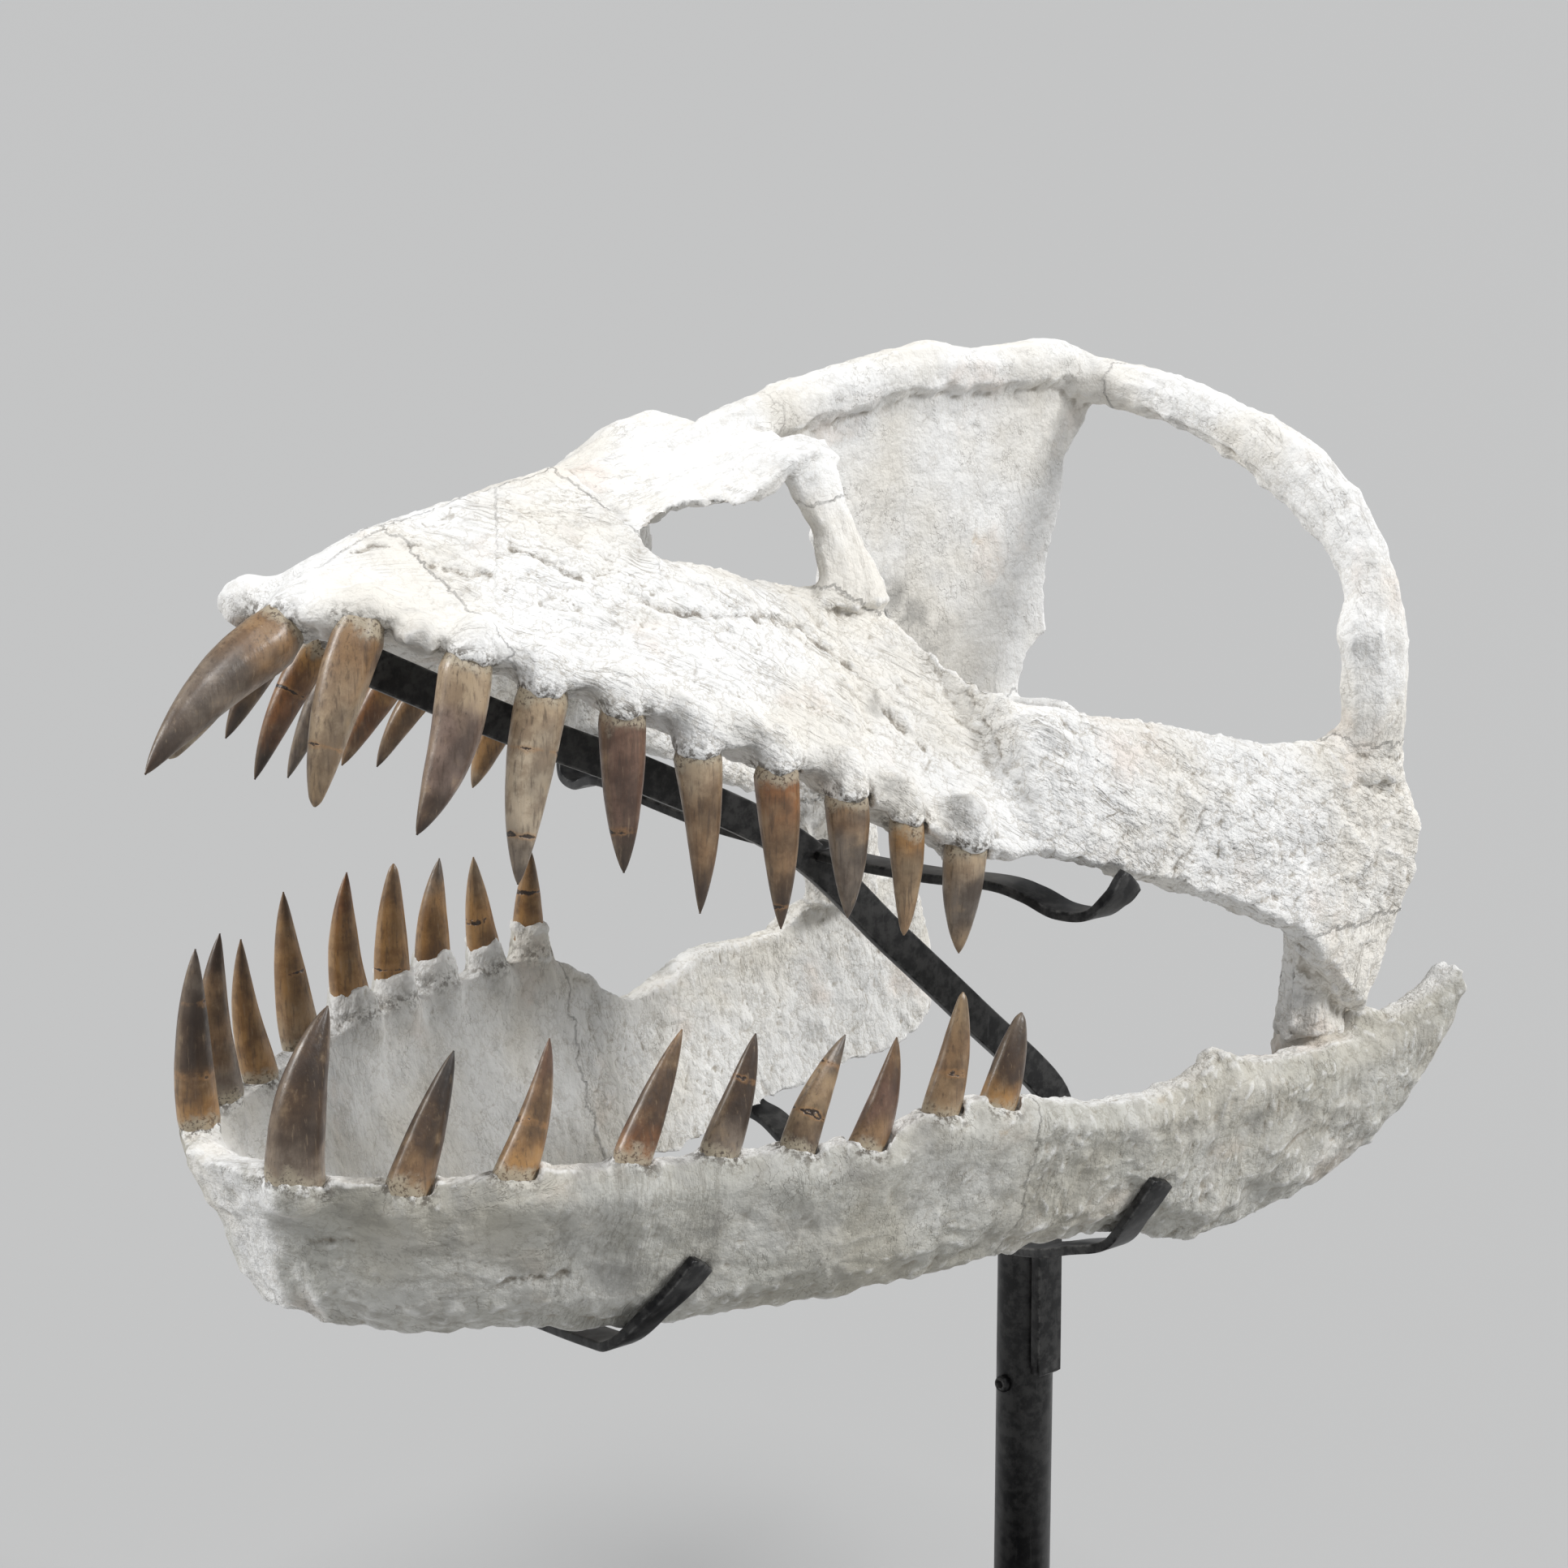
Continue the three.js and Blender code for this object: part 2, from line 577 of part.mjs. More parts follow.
// ---- lower jaw ----
function lowerJaw() {
  const run = (list, side) => list.map(([x, y, ...rest]) => [x, side * y, ...rest]);
  const right = [...JAW_FRONT.slice(1), ...JAW_RIGHT_REAR];
  const left = [...JAW_FRONT, ...JAW_LEFT_REAR];
  const stations = [...run(right, RIGHT).reverse(), ...run(left, LEFT)];
  const rings = stations.map(([x, y, top, low, inset], i) => {
    const before = stations[Math.max(i - 1, 0)];
    const after = stations[Math.min(i + 1, stations.length - 1)];
    const outward = vec(before[1] - after[1], after[0] - before[0], 0).normalize();
    if (outward.dot(vec(x - JAW_MIDDLE, y, 0)) < 0) outward.negate();
    const inner = lookUp(JAW_INNER, Math.abs(y));
    const outer = lookUp(JAW_OUTER, Math.abs(y));
    const height = top - low;
    const at = (out, down) => vec(x, y, top - down * height).addScaledVector(outward, out);
    return [
      at(4, 0),
      at(outer, 0.14),
      at(outer + 1 - inset * 0.35, 0.42),
      at(outer - inset * 0.6, 0.78),
      at(2 - inset * 0.85, 1),
      at(-5 - inset, 0.98),
      at(-inner - inset * 0.5, 0.75),
      at(-inner, 0.3),
      at(-4, 0),
    ];
  });
  const [front, back] = JOINT_SPAN;
  const joint = box(front, back, -REACH, REACH, JOINT_HEIGHT - SEAM / 2, 0);
  return loft(rings).subtract(joint);
}

// ---- assembly ----
const BONE = new THREE.MeshStandardMaterial({ color: BONE_COLOUR, roughness: 0.85, metalness: 0 });
const STEEL = new THREE.MeshStandardMaterial({ color: STEEL_COLOUR, roughness: 0.45, metalness: 0.6 });

const group = new THREE.Group();
group.name = 'plesiosaur_skull_on_stand';

function place(name, solid, material) {
  const geometry = toGeometry(solid);
  geometry.translate(HEAD_SHIFT, 0, HEAD_HEIGHT);
  geometry.computeVertexNormals();
  const mesh = new THREE.Mesh(geometry, material);
  mesh.name = name;
  group.add(mesh);
}

// The piece of a parted bone nearest to a point inside it.
function pieceAt(pieces, [x, y, z]) {
  const probe = box(x - 1, x + 1, y - 1, y + 1, z - 1, z + 1);
  const found = pieces.find((piece) => piece.intersect(probe).volume() > 0);
  if (!found) throw new Error(`no bone at ${x}, ${y}, ${z}`);
  return found;
}

// Stand pieces, in head coordinates; `grown` widens them to cut the gap round them.
const at = ([x, y, z]) => vec(x, y, z);
const leftwards = ([x, y, z]) => vec(x, -y, z);
const spineLine = SPINE.map(([x, z]) => vec(x, SPINE_SIDE, z));
const spine = (grown) => strip(spineLine, SIDEWAYS, FLAT_WIDTH + grown, FLAT_THICKNESS + grown);

function strap(points, grown) {
  return strip(points, BACKWARDS, STRAP_THICKNESS + grown, STRAP_WIDTH + grown);
}

function cradle(left, right, grown) {
  return strap([...left.slice(1).reverse().map(leftwards), ...right.map(at)], grown);
}

const cheekBars = (grown) => [
  strap([[5, SPINE_SIDE - CHEEK_BAR_START, -20], ...CHEEK_BAR.map(([x, y, z]) => [x, -y, z])].map(at), grown),
  strap([[5, SPINE_SIDE + CHEEK_BAR_START, -20], ...CHEEK_BAR].map(at), grown),
];
const frontCradle = (grown) => cradle(FRONT_CRADLE, FRONT_CRADLE, grown);
const rearCradle = (grown) => cradle(REAR_CRADLE_LEFT, REAR_CRADLE_RIGHT, grown);

function basePlate() {
  const ring = ([height, inset]) => {
    const [a, b, c] = [BASE_LENGTH / 2 - inset, BASE_WIDTH / 2 - inset, BASE_CORNER];
    const quarter = [[a, b - c], [a - c, b]];
    const half = [...quarter, ...quarter.map(([x, y]) => [-x, y]).reverse()];
    const outline = [...half, ...half.map(([x, y]) => [-x, -y])];
    return outline.map(([x, y]) => vec(x - HEAD_SHIFT, y, height - HEAD_HEIGHT));
  };
  const [low, high] = [BASE_BEVEL, BASE_THICKNESS - BASE_BEVEL];
  return loft([[0, BASE_BEVEL], [low, 0], [high, 0], [BASE_THICKNESS, BASE_BEVEL]].map(ring));
}

function rod(radius, length, sides) {
  const profile = [[0, 0], [radius, 0], [radius, length], [0, length]];
  const geometry = new THREE.LatheGeometry(profile.map(([x, y]) => new THREE.Vector2(x, y)), sides);
  geometry.rotateX(Math.PI / 2);
  return toSolid(geometry);
}

function post() {
  const tube = rod(POST_RADIUS, POST_TOP - POST_FOOT, POST_SIDES).translate([POST_X, 0, POST_FOOT]);
  const screw = rod(SCREW_RADIUS, POST_RADIUS + SCREW_REACH, SCREW_SIDES).rotate([0, -90, 0]);
  return tube.add(screw.translate([POST_X, 0, SCREW_HEIGHT]));
}

const clearance = 2 * SEAM;
const standCut = [spine(clearance), ...cheekBars(clearance), frontCradle(clearance), rearCradle(clearance)];

// Bones of the cranium.
const bones = cutAll(cranium(), [...craniumSeams(), ...standCut]).decompose();
const dentarySeam = box(DENTARY_END - SEAM / 2, DENTARY_END + SEAM / 2, -REACH, REACH, -REACH, 0);
const jawBones = cutAll(lowerJaw(), [dentarySeam, ...standCut]).decompose();
const withTeeth = (bone, ...lists) => unite([bone, ...lists.flat()]);

const leftUpper = teeth(LEFT_UPPER_TEETH, LEFT);
const rightUpper = teeth(RIGHT_UPPER_TEETH, RIGHT);
const snoutTeeth = [...leftUpper.slice(0, 3), ...rightUpper.slice(0, 1)];
place('premaxilla', withTeeth(pieceAt(bones, [-170, 0, 85]), snoutTeeth), BONE);
place('maxilla_left', withTeeth(pieceAt(bones, [-110, -60, 70]), leftUpper.slice(3)), BONE);
place('maxilla_right', withTeeth(pieceAt(bones, [-110, 60, 70]), rightUpper.slice(1)), BONE);
place('frontal', pieceAt(bones, [-30, 0, 105]), BONE);
place('parietal_crest', pieceAt(bones, [70, 0, 80]), BONE);
place('palate', pieceAt(bones, [30, 0, 2]), BONE);
for (const [name, side] of [['left', LEFT], ['right', RIGHT]]) {
  place(`postorbital_${name}`, pieceAt(bones, [-23, side * 46, 86]), BONE);
  place(`squamosal_arch_${name}`, pieceAt(bones, [141, side * 86, 92]), BONE);
  place(`cheek_${name}`, pieceAt(bones, [60, side * 116, 5]), BONE);
  place(`quadrate_${name}`, pieceAt(bones, [124, side * 109, -66]), BONE);
}

// Bones of the lower jaw.
const lowerTeeth = [...teeth(LEFT_LOWER_TEETH, LEFT), ...teeth(RIGHT_LOWER_TEETH, RIGHT)];
place('dentary', withTeeth(pieceAt(jawBones, [-154, -60, -100]), lowerTeeth), BONE);
place('jaw_rear_left', pieceAt(jawBones, [60, -113, -105]), BONE);
place('jaw_rear_right', pieceAt(jawBones, [60, 112, -115]), BONE);

// Stand.
place('stand_base', basePlate(), STEEL);
place('stand_post', post(), STEEL);
place('stand_spine', spine(0), STEEL);
const [cheekBarLeft, cheekBarRight] = cheekBars(0);
place('stand_cheek_bar_left', cheekBarLeft, STEEL);
place('stand_cheek_bar_right', cheekBarRight, STEEL);
const jawBarLine = JAW_BAR.map(([x, z]) => vec(x, 0, z));
place('stand_jaw_bar', strip(jawBarLine, UPWARDS, FLAT_WIDTH, FLAT_THICKNESS), STEEL);
place('stand_front_cradle', frontCradle(0), STEEL);
place('stand_rear_cradle', rearCradle(0), STEEL);

export default group;
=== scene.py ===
"""Looks of the fossil plesiosaur skull on its steel stand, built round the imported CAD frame.

Points are worked out in head coordinates, in millimetres: x runs back along the head, y to the
animal's right, z up, with the origin in the middle of the head. HEAD moves them to the row frame.
"""
import math
from collections import namedtuple

import bmesh
import bpy
import numpy as np
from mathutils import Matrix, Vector, bvhtree, noise


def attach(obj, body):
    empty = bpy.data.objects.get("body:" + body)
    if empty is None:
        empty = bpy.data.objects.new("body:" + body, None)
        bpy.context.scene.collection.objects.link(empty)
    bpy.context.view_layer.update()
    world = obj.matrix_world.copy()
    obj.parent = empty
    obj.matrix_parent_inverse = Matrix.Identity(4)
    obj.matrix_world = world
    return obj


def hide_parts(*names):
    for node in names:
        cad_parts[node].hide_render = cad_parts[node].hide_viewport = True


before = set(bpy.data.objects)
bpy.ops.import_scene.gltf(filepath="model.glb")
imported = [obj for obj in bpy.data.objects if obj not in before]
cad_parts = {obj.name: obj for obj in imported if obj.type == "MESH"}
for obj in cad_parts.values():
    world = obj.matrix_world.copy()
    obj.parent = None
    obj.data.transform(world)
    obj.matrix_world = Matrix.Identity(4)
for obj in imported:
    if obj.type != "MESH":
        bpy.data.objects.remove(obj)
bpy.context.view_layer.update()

# ---- frame and skin, mm ----
MM = 0.001
HEAD = np.array([-30.0, 0.0, 400.0])
LEFT, RIGHT = -1, 1
WELD_REACH = 0.01
SEAM_CLOSE = 0.5
SKIN_SWELL = 0.2
SKIN_VOXEL = 1.05
SMALLEST_SKIN = 5000
# Rounds of smoothing: all over, at seams, round roots, on the snout, on the jaw's faces.
SKIN_ROUNDS, SEAM_ROUNDS, ROOT_ROUNDS, SNOUT_ROUNDS, FACE_ROUNDS = 22, 16, 36, 70, 16
SOFTENING, SHRINK, GROW = 0.6, 0.5, -0.52
SNOUT_HEART, SNOUT_REACH, SNOUT_FLOOR = (-174, 22, 86), (14, 30), (72, 78)
SEAM_WAVE, SEAM_SPREAD, SEAM_GAIN = 2.6, 5, 1.6
# Round a root: from where to where along the tooth it counts, and how wide, as shares of the radius.
ROOT_START, ROOT_END, ROOT_WIDTH = (-24, -14), (-4, -1), (1.5, 2.4)
SOCKET_REACH, GAP_REACH, GRIME_REACH = 30, 24, 3.2
# Shares of the normal's y for the jaw's outer face, and how much of the jaw's grey patina and painted shade
# the inner face gets.
OUTER_FACE, INNER_SHADE_AND_PATINA = (0.1, 0.5), 0.3
CAVITY_DEPTH = 0.15
GRAIN_STRETCH, UPRIGHT_STRETCH = 6.0, 4.5
UPRIGHT_FROM, UPRIGHT_TO = -150, -100

# ---- teeth, y growing outwards: (base x, y, z, tip x, y, z, width, bow, fullness, how much of the
# root shows, tints at base, middle and tip, cracks as shares of the length) ----
LEFT_UPPER = [
    (-197.5, 10, 72.5, -242, 15, 43.2, 16.5, 2.6, 1.6, 6.5, "tan taupe umber"),
    (-181, 28, 73.5, -199.5, 32, 30.5, 14.5, 1.4, 2, 4.5, "tan sand khaki", 0.66),
    (-160.5, 49, 64.5, -181, 53, 23.5, 15.2, -2.8, 2, 3.5, "sand mauve umber"),
    (-142, 59, 56.5, -154.5, 63, 7, 14.8, 1.2, 2, 1.5, "sand cream taupe", 0.28, 0.74),
    (-123.5, 71, 50, -126, 74, 7.5, 13.2, 0, 2, 2.5, "rose rose umber", 0.72),
    (-105, 81, 38, -107, 84, -5.5, 13.4, -1.6, 1.3, 1.5, "sand tan umber"),
    (-83, 89, 31, -84, 92, -12.5, 13, -0.7, 1.6, 1.5, "rust tan umber", 0.85),
    (-63, 96, 22, -65, 99, -11.3, 12.8, -0.7, 1.8, 1.5, "tan taupe taupe"),
    (-43.5, 100, 11.5, -46, 102, -19.2, 10.6, -0.8, 1.6, 2, "ochre khaki tan"),
    (-24.5, 105, 3, -28, 106, -27, 12.8, 0.4, 2, 2, "sand taupe khaki"),
]
RIGHT_UPPER = [
    (-184, 10, 71.5, -214, 16, 38, 12.5, 1, 2.6, 2, "tan tan cream", 0.5),
    (-145.5, 59, 57, -163.5, 62, 28.5, 10.5, 0.6, 1.8, 1, "rust tan umber"),
    (-123.5, 71, 49, -144, 76, 10.7, 11, 1.9, 1.9, 1, "ochre rust umber", 0.35),
    (-105.5, 81, 42, -125, 86, 6.5, 10.5, 1.5, 1.8, 1, "tan taupe taupe"),
    (-82.5, 89, 31, -99, 94, 5, 10.5, 0.8, 1.8, 1, "ochre rust tan"),
    (-65, 96, 24, -80.5, 101, 0.5, 9.5, 1.2, 1.8, 1, "ochre tan umber"),
    (-46.5, 101, 15, -56, 105, -8, 10.5, 1, 1.8, 1, "ochre ochre tan"),
    (-28, 105, 7, -37.5, 108, -14.2, 10.5, 0.5, 1.8, 1, "ochre ochre sand"),
]
LEFT_LOWER = [
    (-205, 26, -75.5, -192.5, 26, -28, 17, 3.2, 2, 1, "taupe umber umber"),
    (-181.5, 46, -78.5, -164.5, 46, -42, 13, 0, 1.5, 1, "tan umber soot"),
    (-156, 61, -76.5, -142.5, 61, -39.5, 12, -2, 1.3, 1, "ochre tan rose", 0.4),
    (-128, 79, -73, -109.5, 79, -39.5, 11.2, 0, 1.5, 1, "rust umber tan"),
    (-103, 87, -75, -89, 87, -43, 11.4, -1, 1.6, 1, "taupe umber umber", 0.62),
    (-80.5, 95, -77, -62, 95, -47, 11, 1.2, 1.7, 1, "umber khaki taupe", 0.3, 0.72),
    (-60, 101, -80, -47.5, 101, -49.3, 11, -1.9, 1.6, 1, "tan rose tan"),
    (-35, 106, -73.5, -26, 106, -39, 11.4, -1.3, 1.7, 1, "khaki tan khaki", 0.35),
    (-15, 109, -75, -5, 109, -48.5, 11.4, -0.5, 2, 1, "ochre umber taupe"),
]
RIGHT_LOWER = [
    (-201, 26, -72, -200.5, 26, -21, 12, 1.6, 2, 1, "ochre umber taupe", 0.3, 0.7),
    (-179.5, 45, -73, -178.5, 46, -24.5, 12, 3, 1.8, 1, "taupe tan umber"),
    (-156, 60, -75.5, -161, 61, -32.5, 11, 2, 1.5, 1, "ochre ochre tan"),
    (-127.7, 78, -76, -132.7, 79, -26.5, 12.7, 1.4, 1.6, 1, "khaki ochre tan", 0.5),
    (-101.8, 87, -72, -103.2, 87, -27, 12.4, 2.5, 1.7, 0, "ochre ochre rust"),
    (-80.3, 95, -73.5, -79.3, 95, -29.8, 11.6, 1, 2, 0, "ochre ochre tan", 0.25),
    (-59.8, 101, -72, -56.7, 101, -33, 12, 1.6, 1.8, 0, "umber ochre taupe"),
    (-34.3, 106, -73.5, -39.2, 106, -36.5, 11, 0.8, 1.7, 0, "ochre ochre khaki", 0.2, 0.45),
    (-14.3, 109, -73, -13.2, 109, -39.2, 11, 0.8, 1.8, 0, "ochre ochre tan", 0.6),
]
TOOTH_ROOT = 4.5
TOOTH_SIDES, TOOTH_RINGS, CONE_SIDES = 36, 34, 12
TOOTH_FLATTENING = 0.9
TOOTH_TAPER = 0.74
TOOTH_SWELL = 1.04
# Shares of a tooth's radius that its keels, flutes, lumps and pits take.
TOOTH_KEEL, TOOTH_FLUTES, TOOTH_LUMPS, TOOTH_PITS = 0.05, 0.008, 0.04, 0.012
FLUTE_COUNT, KEEL_SHARPNESS, TIP_CROWDING = 11, 8, 1.4
ROOT_NARROWING, THINNEST_TOOTH, TOOTH_SCALE = 0.25, 0.3, 0.985
BLUNT, BLUNT_SHARE = 2.2, 0.96
BLUNT_TEETH = {("teeth_upper_left", 1), ("teeth_upper_left", 8), ("teeth_upper_right", 0),
               ("teeth_lower_left", 7), ("teeth_lower_left", 8), ("teeth_lower_right", 5)}
TINTS = {
    "cream": (0.50, 0.41, 0.30),
    "sand": (0.37, 0.28, 0.185),
    "khaki": (0.29, 0.2, 0.115),
    "ochre": (0.33, 0.18, 0.065),
    "rust": (0.22, 0.095, 0.035),
    "tan": (0.23, 0.14, 0.072),
    "rose": (0.155, 0.088, 0.06),
    "mauve": (0.19, 0.135, 0.108),
    "taupe": (0.165, 0.13, 0.1),
    "umber": (0.07, 0.043, 0.026),
    "soot": (0.03, 0.022, 0.016),
}

# ---- lines that the grain of each bone follows ----
ROW_LINE = [(-198, 4, 78), (-150, 48, 72), (-105, 68, 58), (-60, 84, 45), (-20, 96, 32), (10, 110, 22),
            (60, 117, 4), (110, 120, -8), (156, 121, -18)]
CREST_LINE = [(-110, 0, 104), (-60, 0, 107), (-14, 0, 112), (45, 0, 122), (100, 0, 120), (129, 0, 114)]
ARCH_LINE = [(124, 0, 114), (136, 32, 109.5), (138.5, 70, 98.5), (138.5, 98, 80), (139.5, 116, 58),
             (138.5, 119, 33), (136, 119, 2)]
BAR_LINE = [(-24, 38, 104), (-23, 46, 87), (-22.5, 54, 66)]
QUADRATE_LINE = [(126, 111, -36), (124, 108, -82)]
KEEL_LINE = [(-86, 0, 50), (-10, 0, 12), (104, 0, -14)]
JAW_LINE = [(-213, 0, -100), (-203, 22, -100), (-181, 38, -102), (-126, 68, -103), (-80, 84, -104),
            (-14, 98, -105), (62, 106, -108), (120, 112, -104), (150, 118, -98), (172, 124, -72)]

# ---- marks on the flanks, y growing outwards ----
# Cracks: (depth, width, points).
SKULL_CRACKS = [
    (1.5, 1.5, [(-103, 51, 80), (-95, 58, 75), (-83, 59, 72), (-73, 59, 71), (-60, 59, 68), (-49, 60, 65),
                (-44, 64, 59), (-38, 68, 54)]),
    (1.0, 1.2, [(-38, 68, 54), (-34, 74, 47), (-31, 80, 40), (-29, 85, 34), (-26, 88, 30)]),
    (1.2, 1.2, [(-126, 26, 91), (-122, 30, 90), (-119, 35, 88), (-114, 43, 84)]),
    (0.9, 1.1, [(-165, 5, 93), (-160, 6, 94), (-149, 14, 94)]),
    (0.9, 1.2, [(-151, 21, 90), (-145, 26, 88), (-138, 32, 86)]),
    (0.9, 1.1, [(-4, 84, 43), (-4, 94, 34), (-4, 98, 27), (-2, 104, 14)]),
    (1.0, 1.3, [(118, 123, 12), (140, 124, 8), (152, 124, 7)]),
    (0.9, 1.2, [(47, 121, -13), (56, 122, -4), (60, 122, 8)]),
    (0.8, 1.1, [(100, 124, -44), (112, 122, -30), (118, 124, -12)]),
]
JAW_CRACKS = [
    (1.2, 1.2, [(-198, 24, -96), (-194, 30, -95), (-186, 36, -94)]),
    (0.9, 1.2, [(-160, 55, -110), (-150, 61, -108), (-142, 66, -109)]),
    (0.8, 1.0, [(-92, 88, -98), (-80, 92, -93), (-70, 97, -89)]),
]
# Lumps and hollows: (x, y, z, radius, height).
SKULL_LUMPS = [
    (-186, 16, 84, 9, 1.4), (-191, 20, 77, 9, 1.2),
    (-171, 40, 70, 7, 1.0), (-131, 40, 85, 16, 1.2), (-118, 57, 74, 16, -1.0),
    (-98, 72, 60, 14, 1.2), (-74, 76, 53, 13, -0.9), (-57, 84, 43, 13, 1.3), (-38, 84, 40, 9, -1.3),
    (-14, 92, 36, 12, 1.1), (8, 108, 24, 11, -1.0), (30, 114, 10, 14, 1.2), (54, 120, -4, 12, -1.2),
    (80, 122, -6, 13, 1.3), (104, 124, -18, 12, -1.1), (124, 124, -4, 14, 1.3), (140, 123, -24, 9, 1.2),
    (127, 121, 50, 7, 1.6), (129, 120, 38, 7, -1.0), (112, 112, -60, 8, -2.2), (134, 112, -66, 8, 1.6),
    (-18, 54, 70, 9, 1.4), (-24, 38, 103, 7, 1.3), (-62, 34, 101, 12, 1.0), (-40, 8, 112, 11, -1.2),
    (60, 0, 128, 6, 1.6), (-4, 0, 118, 8, 1.4), (108, 0, 124, 7, 1.2),
]
JAW_LUMPS = [
    (-206, 14, -84, 11, 1.5), (-196, 30, -92, 10, -1.2), (-176, 44, -104, 14, 1.2), (-156, 60, -90, 10, -1.3),
    (-149, 68, -82, 7, 1.5), (-151, 64, -94, 7, 1.3), (-140, 70, -100, 10, -1.1), (-118, 80, -104, 14, 1.1),
    (-92, 90, -90, 9, -1.2), (-70, 98, -94, 10, 1.1), (-40, 104, -96, 12, -1.1), (-8, 108, -88, 10, 1.2),
    (26, 112, -96, 13, -1.2), (50, 114, -104, 13, 1.3), (72, 117, -80, 7, 2.2), (84, 120, -100, 8, -1.9),
    (94, 119, -108, 7, 2.0), (104, 120, -100, 7, -1.9), (116, 122, -96, 7, 1.9), (130, 124, -92, 8, -1.5),
    (144, 122, -90, 8, 1.3), (70, 117, -126, 9, 1.8), (-208, 0, -112, 12, 1.0),
    (92, 118, -124, 6, -2.0), (105, 120, -118, 6, 1.8), (119, 122, -111, 6, -1.6), (133, 123, -104, 6, 1.6),
    (-100, 84, -129, 8, 1.6), (-62, 98, -130, 9, -1.5), (-30, 104, -128, 8, 1.4),
]
# Soft grey patches of painted shade, mostly in the hollows between the tooth roots, and behind the
# postorbital bar on the plate: (x, y, z, radius).
SKULL_SHADE_PATCHES = [
    (-170, 39, 73, 8), (-151, 58, 67, 7), (-132, 68, 58, 5), (-113, 80, 50, 7), (-94, 89, 42, 7),
    (-72, 95, 31, 6.5), (-50, 98, 24, 7), (-27, 106, 13, 8), (-34, 78, 42, 5), (114, 112, -74, 9),
    (-26, 54, 68, 4), (43, 3, 54, 8), (52, 3, 45, 9), (61, 3, 36, 8), (-189, 22, 72, 6), (136, 122, 14, 6),
]
# Soft grey patches of painted shade on the jaw, mostly in the hollows between the tooth roots: (x, y, z,
# radius).
JAW_SHADE_PATCHES = [
    (-196, 38, -81, 8), (-168, 58, -79, 8), (-141, 74, -80, 7), (-115, 84, -80, 7), (-92, 92, -82, 7),
    (-69, 102, -84, 7), (-45, 108, -79, 6), (-108, 84, -92, 9), (-128, 74, -108, 10), (86, 121, -98, 6),
    (104, 123, -100, 5), (50, 117, -92, 6), (-206, 22, -92, 7), (-60, 100, -90, 6),
]


def outwards(points, side):
    return [(x, side * y, z) for x, y, z in points]


def both_sides(bone, line, roughness):
    """Table rows for a bone that has a left and a right half."""
    return {f"{bone}_left": (outwards(line, LEFT), roughness, 0), f"{bone}_right": (line, roughness, 0)}


# CAD bone: (grain line, how rough its face is, how upright its grain is).
CRANIUM = {
    "premaxilla": (outwards(ROW_LINE, LEFT)[::-1] + ROW_LINE[1:], 0.32, 0),
    **both_sides("maxilla", ROW_LINE, 0.85),
    "frontal": (CREST_LINE, 0.35, 0),
    "parietal_crest": (CREST_LINE, 0.28, 0.4),
    "palate": (KEEL_LINE, 0.5, 0),
    **both_sides("postorbital", BAR_LINE, 0.35),
    **both_sides("squamosal_arch", ARCH_LINE, 0.5),
    **both_sides("cheek", ROW_LINE, 0.95),
    **both_sides("quadrate", QUADRATE_LINE, 0.9),
}
WHOLE_JAW = outwards(JAW_LINE, LEFT)[::-1] + JAW_LINE[1:]
LOWER_JAW = {
    "dentary": (WHOLE_JAW, 0.55, 0.7),
    "jaw_rear_left": (WHOLE_JAW, 0.82, 1),
    "jaw_rear_right": (WHOLE_JAW, 0.8, 1),
}

# ---- stand, as in the solids ----
BASE_LENGTH, BASE_WIDTH, BASE_THICKNESS = 300, 220, 12
BASE_CORNER, BASE_BEVEL = 8, 1.5
POST_X, POST_RADIUS, POST_WALL, POST_TOP = 109, 9.5, 2.3, -146
POST_FOOT = BASE_THICKNESS - HEAD[2] + 0.3
SCREW_HEIGHT, SCREW_RADIUS, SCREW_REACH, SCREW_SIDES = -222, 2.9, 2.2, 24
SPINE_SIDE = -11.8
FLAT_BAR = (11, 4)
STRAP = (3, 11)
SPINE = [(107, -217), (107, -150), (110, -134), (107, -118), (71, -85), (35, -53), (-7, -16), (-64, 14),
         (-117, 38), (-166, 62)]
CHEEK_BAR = [(5, 32, -20), (6, 60, -18.5), (6, 88, -15.5), (8, 100, -17), (11, 110, -20.5),
             (14, 119.5, -20), (17.5, 124.5, -15), (22.5, 126, -9.5)]
FRONT_CRADLE = [(-112, 0, -140.8), (-119, 52, -136), (-121, 66, -132.3), (-117.5, 76, -122),
                (-113, 81.5, -114.5), (-107.5, 85, -107)]
REAR_CRADLE_LEFT = [(62, 0, -154.6), (48, 60, -146), (44, 88, -137.5), (44, 102, -132.2), (42, 112, -121.5),
                    (47.5, 117.5, -109.5)]
REAR_CRADLE_RIGHT = [(62, 0, -154.6), (70, 60, -152), (76, 90, -145.5), (77, 104, -142.8), (78, 117.5, -130),
                     (82, 124.5, -111)]
JAW_BAR = [(99.1, 0, -152), (60, 0, -149), (0, 0, -143), (-118, 0, -135.5)]
BEND_STEPS = 8
EDGE_ROUND = 0.7
# Beads of weld metal: place and half sizes.
WELDS = {
    "cheek": ((5, SPINE_SIDE, -20), (6.5, 3.6, 3.6)),
    "front": ((-112.5, 0, -138.4), (6.6, 6.6, 2.2)),
    "rear": ((62, 0, -152), (6.6, 6.6, 2.4)),
    "post": ((101, 0, -152), (3.4, 6.2, 3.6)),
    "stem_high": ((107, -9.4, -152), (3.2, 2.2, 6)),
    "stem_low": ((107, -9.4, -208), (3.2, 2.2, 6)),
}


# ---- small helpers ----
def to_row(points):
    return (np.asarray(points, float) + HEAD) * MM


def to_head(points):
    return np.asarray(points, float) / MM - HEAD


def unit(v):
    v = np.asarray(v, float)
    return v / max(np.linalg.norm(v), 1e-9)


def hill(x, width):
    return np.exp(-((x / width) ** 2))


def smooth_step(x, low, high):
    t = np.clip((x - low) / (high - low), 0, 1)
    return t * t * (3 - 2 * t)


